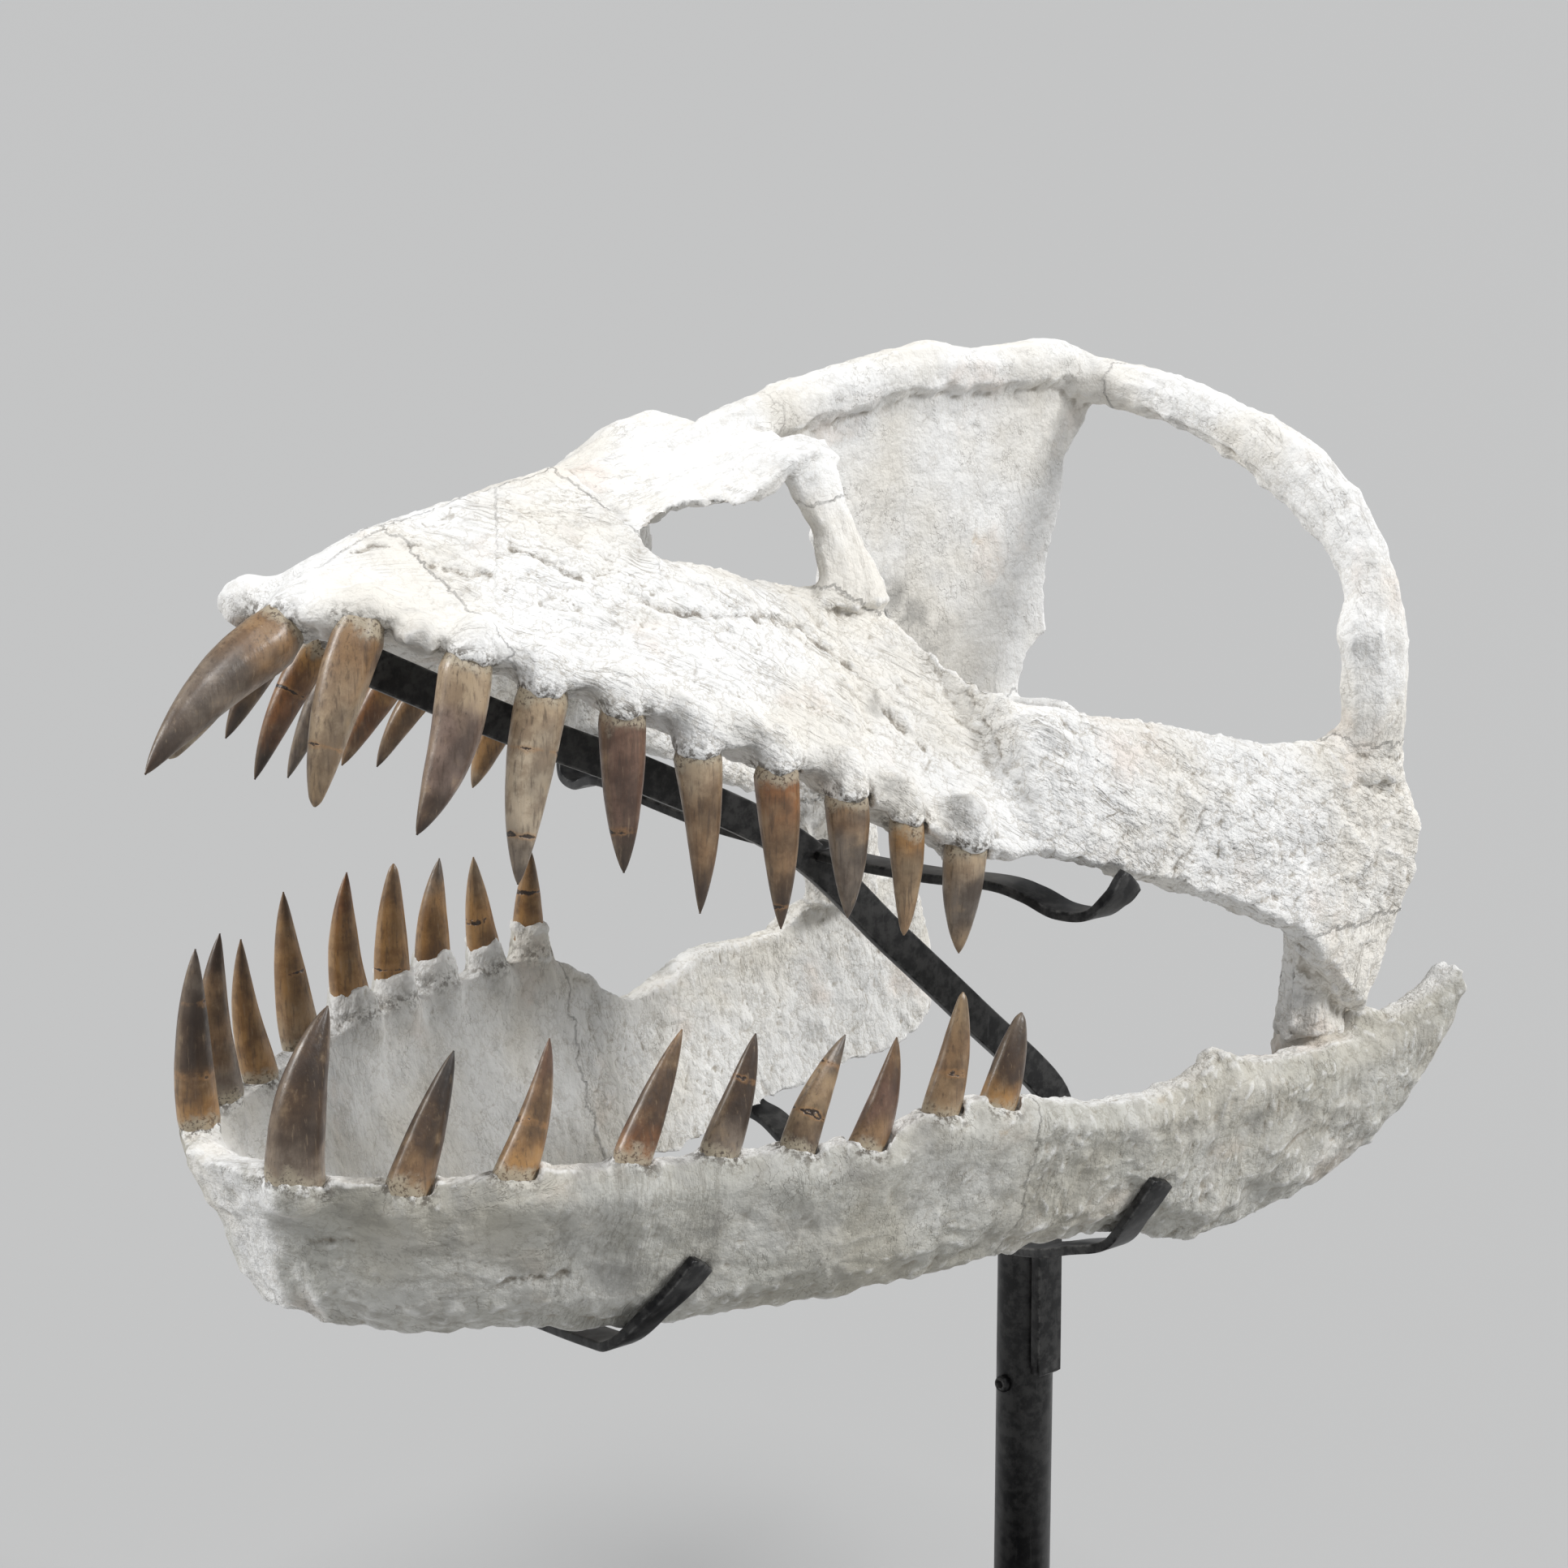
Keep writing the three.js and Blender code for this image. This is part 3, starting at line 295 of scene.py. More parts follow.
def field(points, scale, seed, octaves=1):
    """Perlin noise from about -1 to 1 at points, with features `scale` apart."""
    shift = np.array([seed * 17.31, seed * -9.17, seed * 4.73])
    places = (np.asarray(points) / scale + shift).tolist()
    if octaves == 1:
        return np.array([noise.noise(p) for p in places])
    return np.array([noise.fractal(p, 0.8, 2.1, octaves) for p in places])


def fields(points, scale, seed, octaves=1):
    """Three noise fields side by side, to shift points with."""
    return np.stack([field(points, scale, seed + k, octaves) for k in range(3)], axis=1)


def linked(name, data):
    """Object that holds this data, in the scene."""
    obj = bpy.data.objects.new(name, data)
    bpy.context.scene.collection.objects.link(obj)
    return obj


def new_object(name, points, faces):
    """Smooth-shaded mesh object from points in head millimetres."""
    mesh = bpy.data.meshes.new(name)
    mesh.from_pydata(to_row(points).tolist(), [], [list(map(int, f)) for f in faces])
    mesh.polygons.foreach_set("use_smooth", [True] * len(mesh.polygons))
    mesh.update()
    return linked(name, mesh)


def put_values(obj, **values):
    """Stores numbers, vectors or colours for each point, for the materials to read."""
    for name, value in values.items():
        kind, key = ("FLOAT", "value") if np.ndim(value) == 1 else ("FLOAT_VECTOR", "vector")
        attribute = obj.data.attributes.new(name, kind, "POINT")
        attribute.data.foreach_set(key, np.asarray(value, np.float32).ravel())


def finish_piece(obj, slot, *nodes):
    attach(obj, "root")
    if nodes:
        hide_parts(*nodes)
    return obj


def mesh_after(name, mesh, kind, **settings):
    """Mesh that a modifier makes of another mesh."""
    obj = linked(name, mesh)
    modifier = obj.modifiers.new(name, kind)
    for key, value in settings.items():
        setattr(modifier, key, value)
    graph = bpy.context.evaluated_depsgraph_get()
    made = bpy.data.meshes.new_from_object(obj.evaluated_get(graph))
    bpy.data.objects.remove(obj)
    return made


def joined(parts):
    """One list of points and one of faces from several such pairs."""
    points, faces, start = [], [], 0
    for part_points, part_faces in parts:
        points.append(part_points)
        faces += [tuple(start + v for v in face) for face in part_faces]
        start += len(part_points)
    return np.vstack(points), faces


def skin_rings(rings):
    """Closed mesh over rings of points, with a fan at each end."""
    count = len(rings[0])
    points = [p for ring in rings for p in ring]
    faces = []
    for i in range(len(rings) - 1):
        for j in range(count):
            a, b = i * count + j, i * count + (j + 1) % count
            faces.append((a, b, b + count, a + count))
    points += [np.mean(rings[0], axis=0), np.mean(rings[-1], axis=0)]
    first, last, top = len(points) - 2, len(points) - 1, (len(rings) - 1) * count
    for j in range(count):
        k = (j + 1) % count
        faces += [(first, k, j), (last, top + j, top + k)]
    return np.array(points), faces


# ---- bone skins ----
Tooth = namedtuple("Tooth", "base along front radius length bow fullness shown looks")


def teeth_of(table, side):
    """The teeth of a table on one side, in head coordinates."""
    teeth = []
    for bx, by, bz, tx, ty, tz, width, bow, fullness, shown, *looks in table:
        base = np.array([bx, side * by, bz], float)
        tip = np.array([tx, side * ty, tz], float)
        along = unit(tip - base)
        front = unit(along * along[0] - np.array([1.0, 0, 0]))
        length = np.linalg.norm(tip - base)
        teeth.append(Tooth(base, along, front, width / 2, length, bow, fullness, shown, looks))
    return teeth


def cones(teeth, profiles):
    """Closed cones along the teeth; a profile lists (reach in mm, share of the radius, extra mm)."""
    parts = []
    for tooth, profile in zip(teeth, profiles):
        across = unit(np.cross(tooth.along, (0.3, 0.1, 1)))
        around = np.cross(tooth.along, across)
        rings = []
        for reach, share, extra in profile:
            reach = tooth.length + tooth.shown + extra if reach is None else reach
            size = tooth.radius * share + (0 if reach > tooth.length + tooth.shown else extra)
            run = min(max((reach - tooth.shown) / tooth.length, 0), 1)
            sweep = tooth.bow * 4 * run * (1 - run)
            centre = tooth.base + tooth.along * (reach - tooth.shown) + tooth.front * sweep
            rings.append([centre + (across * math.cos(a) + around * math.sin(a)) * size
                          for a in np.arange(CONE_SIDES) / CONE_SIDES * 2 * math.pi])
        parts.append(skin_rings(rings))
    return joined(parts)


def fused_skin(names, rows, collars, fillings):
    """One closed skin over several CAD bones, with sockets where their plain teeth were."""
    teeth = sum(rows, [])
    cutter = new_object("cutter", *cones(teeth, [CUT] * len(teeth)))
    bm = bmesh.new()
    for name in names:
        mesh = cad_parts[name].data
        if name in TOOTHED:
            mesh = mesh_after(name, mesh.copy(), "BOOLEAN", operation="DIFFERENCE", solver="EXACT",
                              use_self=True, object=cutter)
        bm.from_mesh(mesh)
    bmesh.ops.remove_doubles(bm, verts=bm.verts, dist=WELD_REACH * MM)
    bm.normal_update()
    for v in bm.verts:
        v.co += v.normal * SEAM_CLOSE * MM
    for roots, profiles in [*zip(rows, collars), *fillings]:
        collar = new_object("collar", *cones(roots, profiles))
        bm.from_mesh(collar.data)
        bpy.data.objects.remove(collar)
    bpy.data.objects.remove(cutter)
    mesh = bpy.data.meshes.new("skin")
    bm.to_mesh(mesh)
    bm.free()
    result = mesh_after("skin", mesh, "REMESH", mode="VOXEL", voxel_size=SKIN_VOXEL * MM)
    points = np.zeros(len(result.vertices) * 3)
    result.vertices.foreach_get("co", points)
    loops = np.zeros(len(result.loops), int)
    result.loops.foreach_get("vertex_index", loops)
    bpy.data.meshes.remove(result)
    return Skin(to_head(points.reshape(-1, 3)), loops.reshape(-1, 4)).without_crumbs()


class Skin:
    """Quad mesh held as arrays, in head millimetres."""

    def __init__(self, points, quads):
        self.points, self.quads = points, quads
        edges = np.vstack([quads[:, [k, (k + 1) % 4]] for k in range(4)])
        self.pairs = np.unique(np.sort(edges, axis=1), axis=0)
        self.counts = np.bincount(self.pairs.ravel(), minlength=len(points)).astype(float)

    def without_crumbs(self):
        """The skin without its connected bits of SMALLEST_SKIN points or fewer."""
        a, b = self.pairs.T
        label, before = np.arange(len(self.points)), None
        while before is None or (label != before).any():
            before, label = label, label.copy()
            low = np.minimum(before[a], before[b])
            np.minimum.at(label, a, low)
            np.minimum.at(label, b, low)
            label = label[label]
        names, sizes = np.unique(label, return_counts=True)
        kept = np.isin(label, names[sizes > SMALLEST_SKIN])
        number = np.cumsum(kept) - 1
        return Skin(self.points[kept], number[self.quads[kept[self.quads[:, 0]]]])

    def mean(self, values, rounds=1):
        """Mean over each point's neighbours, taken one or more times."""
        if values.ndim > 1:
            return np.stack([self.mean(values[:, c], rounds) for c in range(3)], axis=1)
        a, b = self.pairs.T
        for _ in range(rounds):
            total = np.bincount(a, values[b], len(values))
            values = (total + np.bincount(b, values[a], len(values))) / self.counts
        return values

    def soften(self, share, rounds):
        """Plain smoothing, held back to where `share` is above nought."""
        for _ in range(rounds):
            self.points = self.points + SOFTENING * share[:, None] * (self.mean(self.points) - self.points)

    def relax(self, rounds):
        """Smooths without losing volume, so that bars and plates keep their width."""
        for _ in range(rounds):
            for share in (SHRINK, GROW):
                self.points = self.points + share * (self.mean(self.points) - self.points)

    def normals(self):
        a, b, c, d = (self.points[self.quads[:, k]] for k in range(4))
        face = np.cross(c - a, d - b)
        normals = np.zeros_like(self.points)
        for k in range(4):
            for axis in range(3):
                normals[:, axis] += np.bincount(self.quads[:, k], face[:, axis], len(self.points))
        return normals / np.maximum(np.linalg.norm(normals, axis=1, keepdims=True), 1e-9)

    def bend(self, normals):
        """How deep each point lies below its neighbours, mm."""
        return np.einsum("ij,ij->i", self.mean(self.points) - self.points, normals)

    def outward(self, normals):
        """How far each point faces away from the middle of the head, from -1 to 1."""
        return normals[:, 1] * np.sign(self.points[:, 1])

    def seam_share(self, owner):
        """How near each point is to a seam between bones, from 0 to 1."""
        share = np.zeros(len(owner))
        share[self.pairs[owner[self.pairs[:, 0]] != owner[self.pairs[:, 1]]].ravel()] = 1
        for _ in range(SEAM_SPREAD):
            share = np.maximum(share, SEAM_GAIN * self.mean(share)).clip(0, 1)
        return share


def snout_share(points):
    """How near each point is to the top of the snout, from 0 to 1."""
    reach = np.linalg.norm(mirrored(points) - SNOUT_HEART, axis=1)
    return (1 - smooth_step(reach, *SNOUT_REACH)) * smooth_step(points[:, 2], *SNOUT_FLOOR)


def root_share(points, rows):
    """How near each point is to the root of a tooth, from 0 to 1."""
    share = np.zeros(len(points))
    for tooth in sum(rows, []):
        rel = points - tooth.base
        reach = rel @ tooth.along + tooth.shown
        wide = np.linalg.norm(rel - (rel @ tooth.along)[:, None] * tooth.along, axis=1)
        near = smooth_step(reach, *ROOT_START) * (1 - smooth_step(reach, *ROOT_END))
        low, high = (width * tooth.radius for width in ROOT_WIDTH)
        share = np.maximum(share, near * (1 - smooth_step(wide, low, high)))
    return share


def along_line(points, line):
    """Distance run along a line and offset from it, for each point."""
    line = np.asarray(line, float)
    best = np.full(len(points), np.inf)
    run = np.zeros(len(points))
    offset = np.zeros_like(points)
    start = 0.0
    for a, b in zip(line[:-1], line[1:]):
        length = np.linalg.norm(b - a)
        t = np.clip((points - a) @ (b - a) / length**2, 0, 1)
        near = points - (a + t[:, None] * (b - a))
        far = np.einsum("ij,ij->i", near, near)
        better = far < best
        best[better] = far[better]
        run[better] = start + t[better] * length
        offset[better] = near[better]
        start += length
    return run, offset


def mirrored(points):
    """Points with y turned outwards, so that one list serves both sides."""
    flipped = points.copy()
    flipped[:, 1] = np.abs(flipped[:, 1])
    return flipped


def dress_sockets(skin, rows, arch, swelling):
    """Swells the roots and arches the gaps between the teeth. Returns speckled grime for each point."""
    points, normals = skin.points, skin.normals()
    grime = np.zeros(len(points))
    for teeth in rows:
        bases = np.array([tooth.base for tooth in teeth])
        _, offset = along_line(points, bases)
        away = np.linalg.norm(offset, axis=1)
        bulge = np.zeros(len(points))
        ridge = np.zeros(len(points))
        for i, tooth in enumerate(teeth):
            row = unit(bases[min(i + 1, len(bases) - 1)] - bases[max(i - 1, 0)])
            rel = points - tooth.base
            reach = rel @ tooth.along + tooth.shown
            wide = np.linalg.norm(rel - reach[:, None] * tooth.along, axis=1)
            lateral = np.abs(rel @ row)
            near = wide < SOCKET_REACH
            ridge = np.maximum(ridge, hill(lateral, 0.95 * tooth.radius) * smooth_step(reach, -26, -6) * near)
            bulge = np.maximum(bulge, hill(lateral, 1.15 * tooth.radius) * near)
            grime = np.maximum(grime, hill(wide - tooth.radius, GRIME_REACH) * hill(reach - 0.5, GRIME_REACH))
        mean_along = unit(np.mean([tooth.along for tooth in teeth], axis=0))
        gap = hill(away, 9) * (1 - bulge)
        depth = hill(np.abs(offset @ mean_along + 6), 6) * (1 - bulge) * (away < GAP_REACH)
        points = points - (arch * gap)[:, None] * mean_along
        points = points + (swelling * (1.1 * ridge - 0.6 * depth))[:, None] * normals
    skin.points = points
    return grime


def carve_marks(skin, cracks, lumps, shade_patches, seed):
    """Carves cracks, lumps and hollows, alike on both sides. Returns grime and painted shade for each point.
    """
    flank = mirrored(skin.points)
    jitter = fields(skin.points, 4, seed)
    height, grime, stain = np.zeros((3, len(flank)))
    for x, y, z, radius, rise in lumps:
        height += rise * hill(np.linalg.norm(flank - (x, y, z), axis=1), radius)
    for depth, width, line in cracks:
        _, offset = along_line(flank + 1.6 * jitter, line)
        cut = hill(np.linalg.norm(offset, axis=1), width)
        height -= depth * cut
        grime = np.maximum(grime, 0.7 * cut)
    for x, y, z, radius in shade_patches:
        far = np.linalg.norm(flank + 2.5 * jitter - (x, y, z), axis=1)
        stain = np.maximum(stain, 1 - smooth_step(far, 0.25 * radius, 1.25 * radius))
    skin.points = skin.points + height[:, None] * skin.normals()
    return grime, stain


def crease(value, width):
    """Sharp valley where a noise field crosses nought."""
    return np.maximum(0, 1 - np.abs(value) / width) ** 1.5


def relief_of(points, underside, grain, rough, edge, seed):
    """Height of the weathered bone surface at each point, mm."""
    warp = fields(points, 14, seed + 20)
    crumpled = points + 5 * warp
    bent = grain + 4 * warp
    patch = smooth_step(field(points, 24, seed + 8), -0.3, 0.3)
    swell = 0.7 * field(points, 28, seed, 2)
    facets = 1.8 * np.abs(field(crumpled, 13, seed + 1)) - 1.3 * np.abs(field(crumpled, 8, seed + 2))
    wrinkles = 0.95 * np.abs(field(crumpled + 0.5 * bent, 4.4, seed + 6)) * (0.4 + 0.6 * patch)
    fibres = 0.28 * field(bent, 2.4, seed + 7, 2) * (1.2 - patch)
    splits = crease(field(bent, 7.5, seed + 3, 2), 0.07) * smooth_step(field(points, 19, seed + 10), 0, 0.3)
    crumble = edge * (field(points, 5.5, seed + 4, 2) * 2.1 + field(points, 12, seed + 11) * 1.6)
    crumble += 1.5 * underside * field(points, 8, seed + 12, 2)
    pits = smooth_step(field(points, 3.4, seed + 5), 0.52, 0.72) * (1 - patch)
    relief = rough * (facets + wrinkles + fibres - 0.7 * splits - 0.5 * pits)
    return relief - relief.mean() + swell + crumble


def nearest_bone(points, names, seed):
    """Number of the CAD bone that each point belongs to, with wavy borders."""
    tree_points, tree_faces, owner = [], [], []
    for index, name in enumerate(names):
        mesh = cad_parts[name].data
        start = len(tree_points)
        tree_points += [tuple(to_head(v.co)) for v in mesh.vertices]
        for polygon in mesh.polygons:
            tree_faces.append([start + k for k in polygon.vertices])
            owner.append(index)
    tree = bvhtree.BVHTree.FromPolygons(tree_points, tree_faces)
    strayed = points + SEAM_WAVE * fields(points, 6, seed + 40, 2)
    return np.array([owner[tree.find_nearest(p)[2]] for p in strayed.tolist()])


def lie_of_grain(points, owner, table):
    """Coordinates drawn out along each bone's grain, and how rough its face is."""
    rough = np.zeros(len(points))
    grain = np.zeros_like(points)
    standing = points / (1, 1, UPRIGHT_STRETCH)
    for index, (line, roughness, upright) in enumerate(table.values()):
        mine = owner == index
        run, offset = along_line(points[mine], line)
        lying = offset + run[:, None] / GRAIN_STRETCH
        share = upright * smooth_step(points[mine, 0], UPRIGHT_FROM, UPRIGHT_TO)
        grain[mine] = lying + (standing[mine] - lying) * share[:, None]
        rough[mine] = roughness
    return grain, rough


def bone_pieces(table, rows, marks, seed, arch, shade_and_patina, collars, fillings):
    """Dresses a set of CAD bones as one fossil skin, then parts it into a piece for each bone."""
    skin = fused_skin(table, rows, collars, fillings)
    skin.relax(SKIN_ROUNDS)
    skin.points = skin.points - (SEAM_CLOSE - SKIN_SWELL) * skin.normals()
    owner = nearest_bone(skin.points, table, seed)
    skin.soften(skin.seam_share(owner), SEAM_ROUNDS)
    skin.soften(root_share(skin.points, rows), ROOT_ROUNDS)
    if shade_and_patina:
        skin.soften(smooth_step(skin.outward(skin.normals()), *OUTER_FACE), FACE_ROUNDS)
    else:
        skin.soften(snout_share(skin.points), SNOUT_ROUNDS)

    grain, rough = lie_of_grain(skin.points, owner, table)
    rough = skin.mean(rough, 6)
    socket_grime = dress_sockets(skin, rows, *arch)
    crack_grime, stain = carve_marks(skin, *marks, seed + 30)
    skin.relax(1)

    normals = skin.normals()
    edge = smooth_step(-skin.mean(skin.bend(normals), 5), 0.02, 0.1)
    sandy = smooth_step(socket_grime, 0.3, 0.8)
    rooted = root_share(skin.points, rows)
    underside = smooth_step(-normals[:, 2], 0.15, 0.7) * (1 - rooted)
    relief = relief_of(skin.points, underside, grain, rough * (1 - 0.5 * np.maximum(sandy, rooted)),
                       edge * (1 - sandy) * (1 - 0.7 * rooted), seed)
    relief += 0.45 * sandy * field(skin.points, 2.4, seed + 9)
    skin.points = skin.points + relief[:, None] * normals

    normals = skin.normals()
    bend = skin.bend(normals)
    bend = 0.5 * bend + 0.5 * skin.mean(bend)
    outward = skin.outward(normals)
    # The jaw's faces that turn outwards, and less so those that turn inwards, get a darker tone: partly a
    # grey patina, partly painted shade.
    tone = shade_and_patina * (smooth_step(outward, 0.02, 0.4) + INNER_SHADE_AND_PATINA * smooth_step(-outward, 0.3, 0.8))
    values = {"grain": grain * MM, "grime": np.maximum(socket_grime, crack_grime), "stain": stain,
              "cavity": np.clip(bend / CAVITY_DEPTH, -1, 1), "rough": rough, "tone": skin.mean(tone, 4)}

    pieces = []
    face_owner = owner[skin.quads[:, 0]]
    for index, name in enumerate(table):
        used, compact = np.unique(skin.quads[face_owner == index], return_inverse=True)
        obj = new_object(f"bone_{name}", skin.points[used], compact.reshape(-1, 4))
        put_values(obj, **{key: value[used] for key, value in values.items()})
        obj.data.normals_split_custom_set_from_vertices(normals[used].tolist())
        pieces.append(finish_piece(obj, "bone", name))
    return pieces


# ---- teeth ----
def tooth_mesh(tooth, seed, blunt):
    """Points and faces of one tooth, with how far along it and how far round to its flank each is."""
    across = np.cross(tooth.along, tooth.front)
    root = (TOOTH_ROOT + tooth.shown) / tooth.length
    rings, run, flank = [], [], []
    for k in range(TOOTH_RINGS + 1):
        t = -root + (1 + root) * (1 - (1 - k / TOOTH_RINGS) ** TIP_CROWDING)
        inner = min(max(t, 0), 1)
        taper = (1 - (inner * (BLUNT_SHARE if blunt else 1)) ** tooth.fullness) ** TOOTH_TAPER
        radius = tooth.radius * TOOTH_SWELL * taper
        if blunt and (1 - inner) * tooth.length < BLUNT:
            radius *= max(0.0, 1 - ((1 - inner) * tooth.length / BLUNT - 1) ** 2) ** 0.5
        radius *= 1 - ROOT_NARROWING * max(-t, 0) / root
        radius = max(radius, THINNEST_TOOTH)
        sweep = tooth.bow * 4 * inner * (1 - inner)
        centre = tooth.base + tooth.along * t * tooth.length + tooth.front * sweep
        ring = []
        for j in range(TOOTH_SIDES):
            a = j / TOOTH_SIDES * 2 * math.pi
            spot = (math.cos(a) * 1.5, math.sin(a) * 1.5, t * 3.2 + seed * 7.7)
            pitted = (math.cos(a) * 5, math.sin(a) * 5, t * 9 + seed * 3.3)
            keel = TOOTH_KEEL * abs(math.cos(a)) ** KEEL_SHARPNESS
            flutes = TOOTH_FLUTES * math.cos(a * FLUTE_COUNT + seed)
            lumps, pits = TOOTH_LUMPS * noise.noise(spot), TOOTH_PITS * noise.noise(pitted)
            r = radius * (TOOTH_SCALE + keel + flutes + lumps + pits)
            ring.append(centre + tooth.front * math.cos(a) * r + across * math.sin(a) * r * TOOTH_FLATTENING)
            run.append(t)
            flank.append(abs(math.sin(a)))
        rings.append(ring)
    return *skin_rings(rings), np.array(run + [-root, 1]), np.array(flank + [0, 0])


def tooth_colours(points, run, flank, tints, seed):
    """Colour of each point of a tooth, blended from its tints and clouded, with painted shade across the
    middle of its flanks and a painted highlight towards its front and back edges.
    """
    low, middle, high = (np.array(TINTS[name]) for name in tints.split())
    drift = run[:, None] + 0.16 * field(points, 7, seed, 2)[:, None]
    colour = low + (middle - low) * smooth_step(drift, 0.05, 0.4)
    colour = colour + (high - colour) * smooth_step(drift, 0.55, 0.95)
    # Painted shade: the middle of each flank darker.
    flank_shade = smooth_step(flank + 0.5 * field(points, 9, seed + 1), 0.62, 1.05)[:, None]
    colour = colour * (1.18 - 0.5 * flank_shade * smooth_step(drift, 0.1, 0.35))
    # Painted highlight: paler towards the front and back edges.
    edge_highlight = (1 - smooth_step(flank, 0.1, 0.42))[:, None] * 0.3
    return np.clip(colour + edge_highlight * (np.array(TINTS["sand"]) - colour), 0, 1)


def tooth_row(name, teeth, seed):
    """A whole row of teeth as one piece, each with its own colours and cracks."""
    rng = np.random.default_rng(seed)
    parts, runs, tints, own, cracks = [], [], [], [], []
    for i, tooth in enumerate(teeth):
        points, faces, run, flank = tooth_mesh(tooth, seed + i, (name, i) in BLUNT_TEETH)
        parts.append((points, faces))
        near = [np.abs(run - share) * tooth.length for share in tooth.looks[1:]]
        runs.append(run * tooth.length + tooth.shown)
        tints.append(tooth_colours(points, run, flank, tooth.looks[0], seed + i))
        own.append((points - points[0]) * MM + rng.random(3) * 0.5)
        cracks.append(np.min(near, axis=0) if near else np.full(len(points), tooth.length))
    obj = new_object(name, *joined(parts))
    put_values(obj, run=np.concatenate(runs), crack=np.concatenate(cracks), tint=np.vstack(tints),
               own=np.vstack(own))
    return finish_piece(obj, "bone")


# ---- stand ----
def steel_piece(name, points, faces, edge, node=None):
    """Piece of the stand; `edge` says how worn the paint is at each point."""
    obj = new_object(name, points, faces)
    put_values(obj, edge=np.array(edge))
    return finish_piece(obj, "stand_steel", *([node] if node else []))


def smooth_route(points):
    """Curve through bend points, like a bar bent round a former."""
    points = [np.array(p, float) for p in points]
    ends = [2 * points[0] - points[1], *points, 2 * points[-1] - points[-2]]
    route = []
    for a, b, c, d in zip(ends[:-3], ends[1:-2], ends[2:-1], ends[3:]):
        for t in np.arange(BEND_STEPS) / BEND_STEPS:
            route.append(0.5 * (2 * b + (c - a) * t + (2 * a - 5 * b + 4 * c - d) * t**2
                                + (3 * b - a - 3 * c + d) * t**3))
    return route + [points[-1]]


def round_rectangle(half_x, half_y, radius, corner, step):
    """Outline of a rectangle with round corners of a radius, whose centres suit the `corner` size."""
    return [(sx * (half_x - corner) + math.cos(a) * radius, sy * (half_y - corner) + math.sin(a) * radius)
            for sx, sy, start in ((1, 1, 0), (-1, 1, 90), (-1, -1, 180), (1, -1, 270))
            for a in (math.radians(start + turn) for turn in range(0, 91, step))]


def flat_bar(name, route, flat, size, node):
    """Bent flat bar; `flat` is the direction that its thickness is measured along."""
    outline = round_rectangle(size[0] / 2, size[1] / 2, EDGE_ROUND, EDGE_ROUND, 30)
    on_edge = [0.35, 1.0, 1.0, 0.35] * 4
    route = smooth_route(route)
    first, last = unit(route[1] - route[0]), unit(route[-1] - route[-2])
    inner = [p for p in route[1:-1] if min(np.linalg.norm(p - route[0]), np.linalg.norm(p - route[-1])) > 2]
    centres = [route[0], route[0] + first * EDGE_ROUND, *inner, route[-1] - last * EDGE_ROUND, route[-1]]
    rings, edge = [], []
    for i, centre in enumerate(centres):
        along = unit(centres[min(i + 1, len(centres) - 1)] - centres[max(i - 1, 0)])
        across = unit(np.cross(flat, along))
        through = np.cross(along, across)
        from_end = min(i, len(centres) - 1 - i)
        wide, thick = (0.84, 0.6) if from_end == 0 else (1, 1)
        rings.append([centre + across * a * wide + through * b * thick for a, b in outline])
        edge += [max(e, 0.9 if from_end < 2 else 0) for e in on_edge]
    return steel_piece(name, *skin_rings(rings), edge + [0.7, 0.7], node)


def turned(name, profile, sides, node=None, uneven=0.0, seed=0):
    """Piece turned round the post's axis from a closed profile of (radius, z, how worn)."""
    points, faces, edge = [], [], []
    count = len(profile)
    for j in range(sides):
        a = j / sides * 2 * math.pi
        for i, (radius, z, worn) in enumerate(profile):
            wobble = uneven * noise.noise((math.cos(a) * 3, math.sin(a) * 3, i * 0.8 + seed))
            r = radius + wobble
            points.append((POST_X + math.cos(a) * r, math.sin(a) * r, z + wobble))
            edge.append(worn)
            k = (j + 1) % sides
            n = (i + 1) % count
            faces.append((j * count + i, k * count + i, k * count + n, j * count + n))
    return steel_piece(name, points, faces, edge, node)


def base_plate():
    """Plate with round corners and a small round along its edges."""
    levels = [(0, 1.0), (0.5, 0.4), (BASE_BEVEL, 0), (BASE_THICKNESS - BASE_BEVEL, 0),
              (BASE_THICKNESS - 0.9, 0.18), (BASE_THICKNESS - 0.4, 0.5), (BASE_THICKNESS, 1.0)]
    rings, edge = [], []
    for height, inset in levels:
        radius = BASE_CORNER - inset * BASE_BEVEL
        outline = round_rectangle(BASE_LENGTH / 2, BASE_WIDTH / 2, radius, BASE_CORNER, 10)
        rings.append([np.array([x, y, height]) - HEAD for x, y in outline])
        edge += [1.0 if height > BASE_THICKNESS - BASE_BEVEL else 0.0] * len(outline)
    return steel_piece("steel_base", *skin_rings(rings), edge + [0, 0], "stand_base")


def weld_bead(name, place, size, seed):
    """Lumpy bead of weld metal."""
    bm = bmesh.new()
    bmesh.ops.create_icosphere(bm, subdivisions=4, radius=1)
    points = np.array([v.co[:] for v in bm.verts])
    faces = [[v.index for v in f.verts] for f in bm.faces]
    bm.free()
    lumps = 1 + 0.18 * field(points, 0.5, seed)[:, None]
    return steel_piece(name, np.array(place) + points * lumps * np.array(size), faces, [0.2] * len(points))


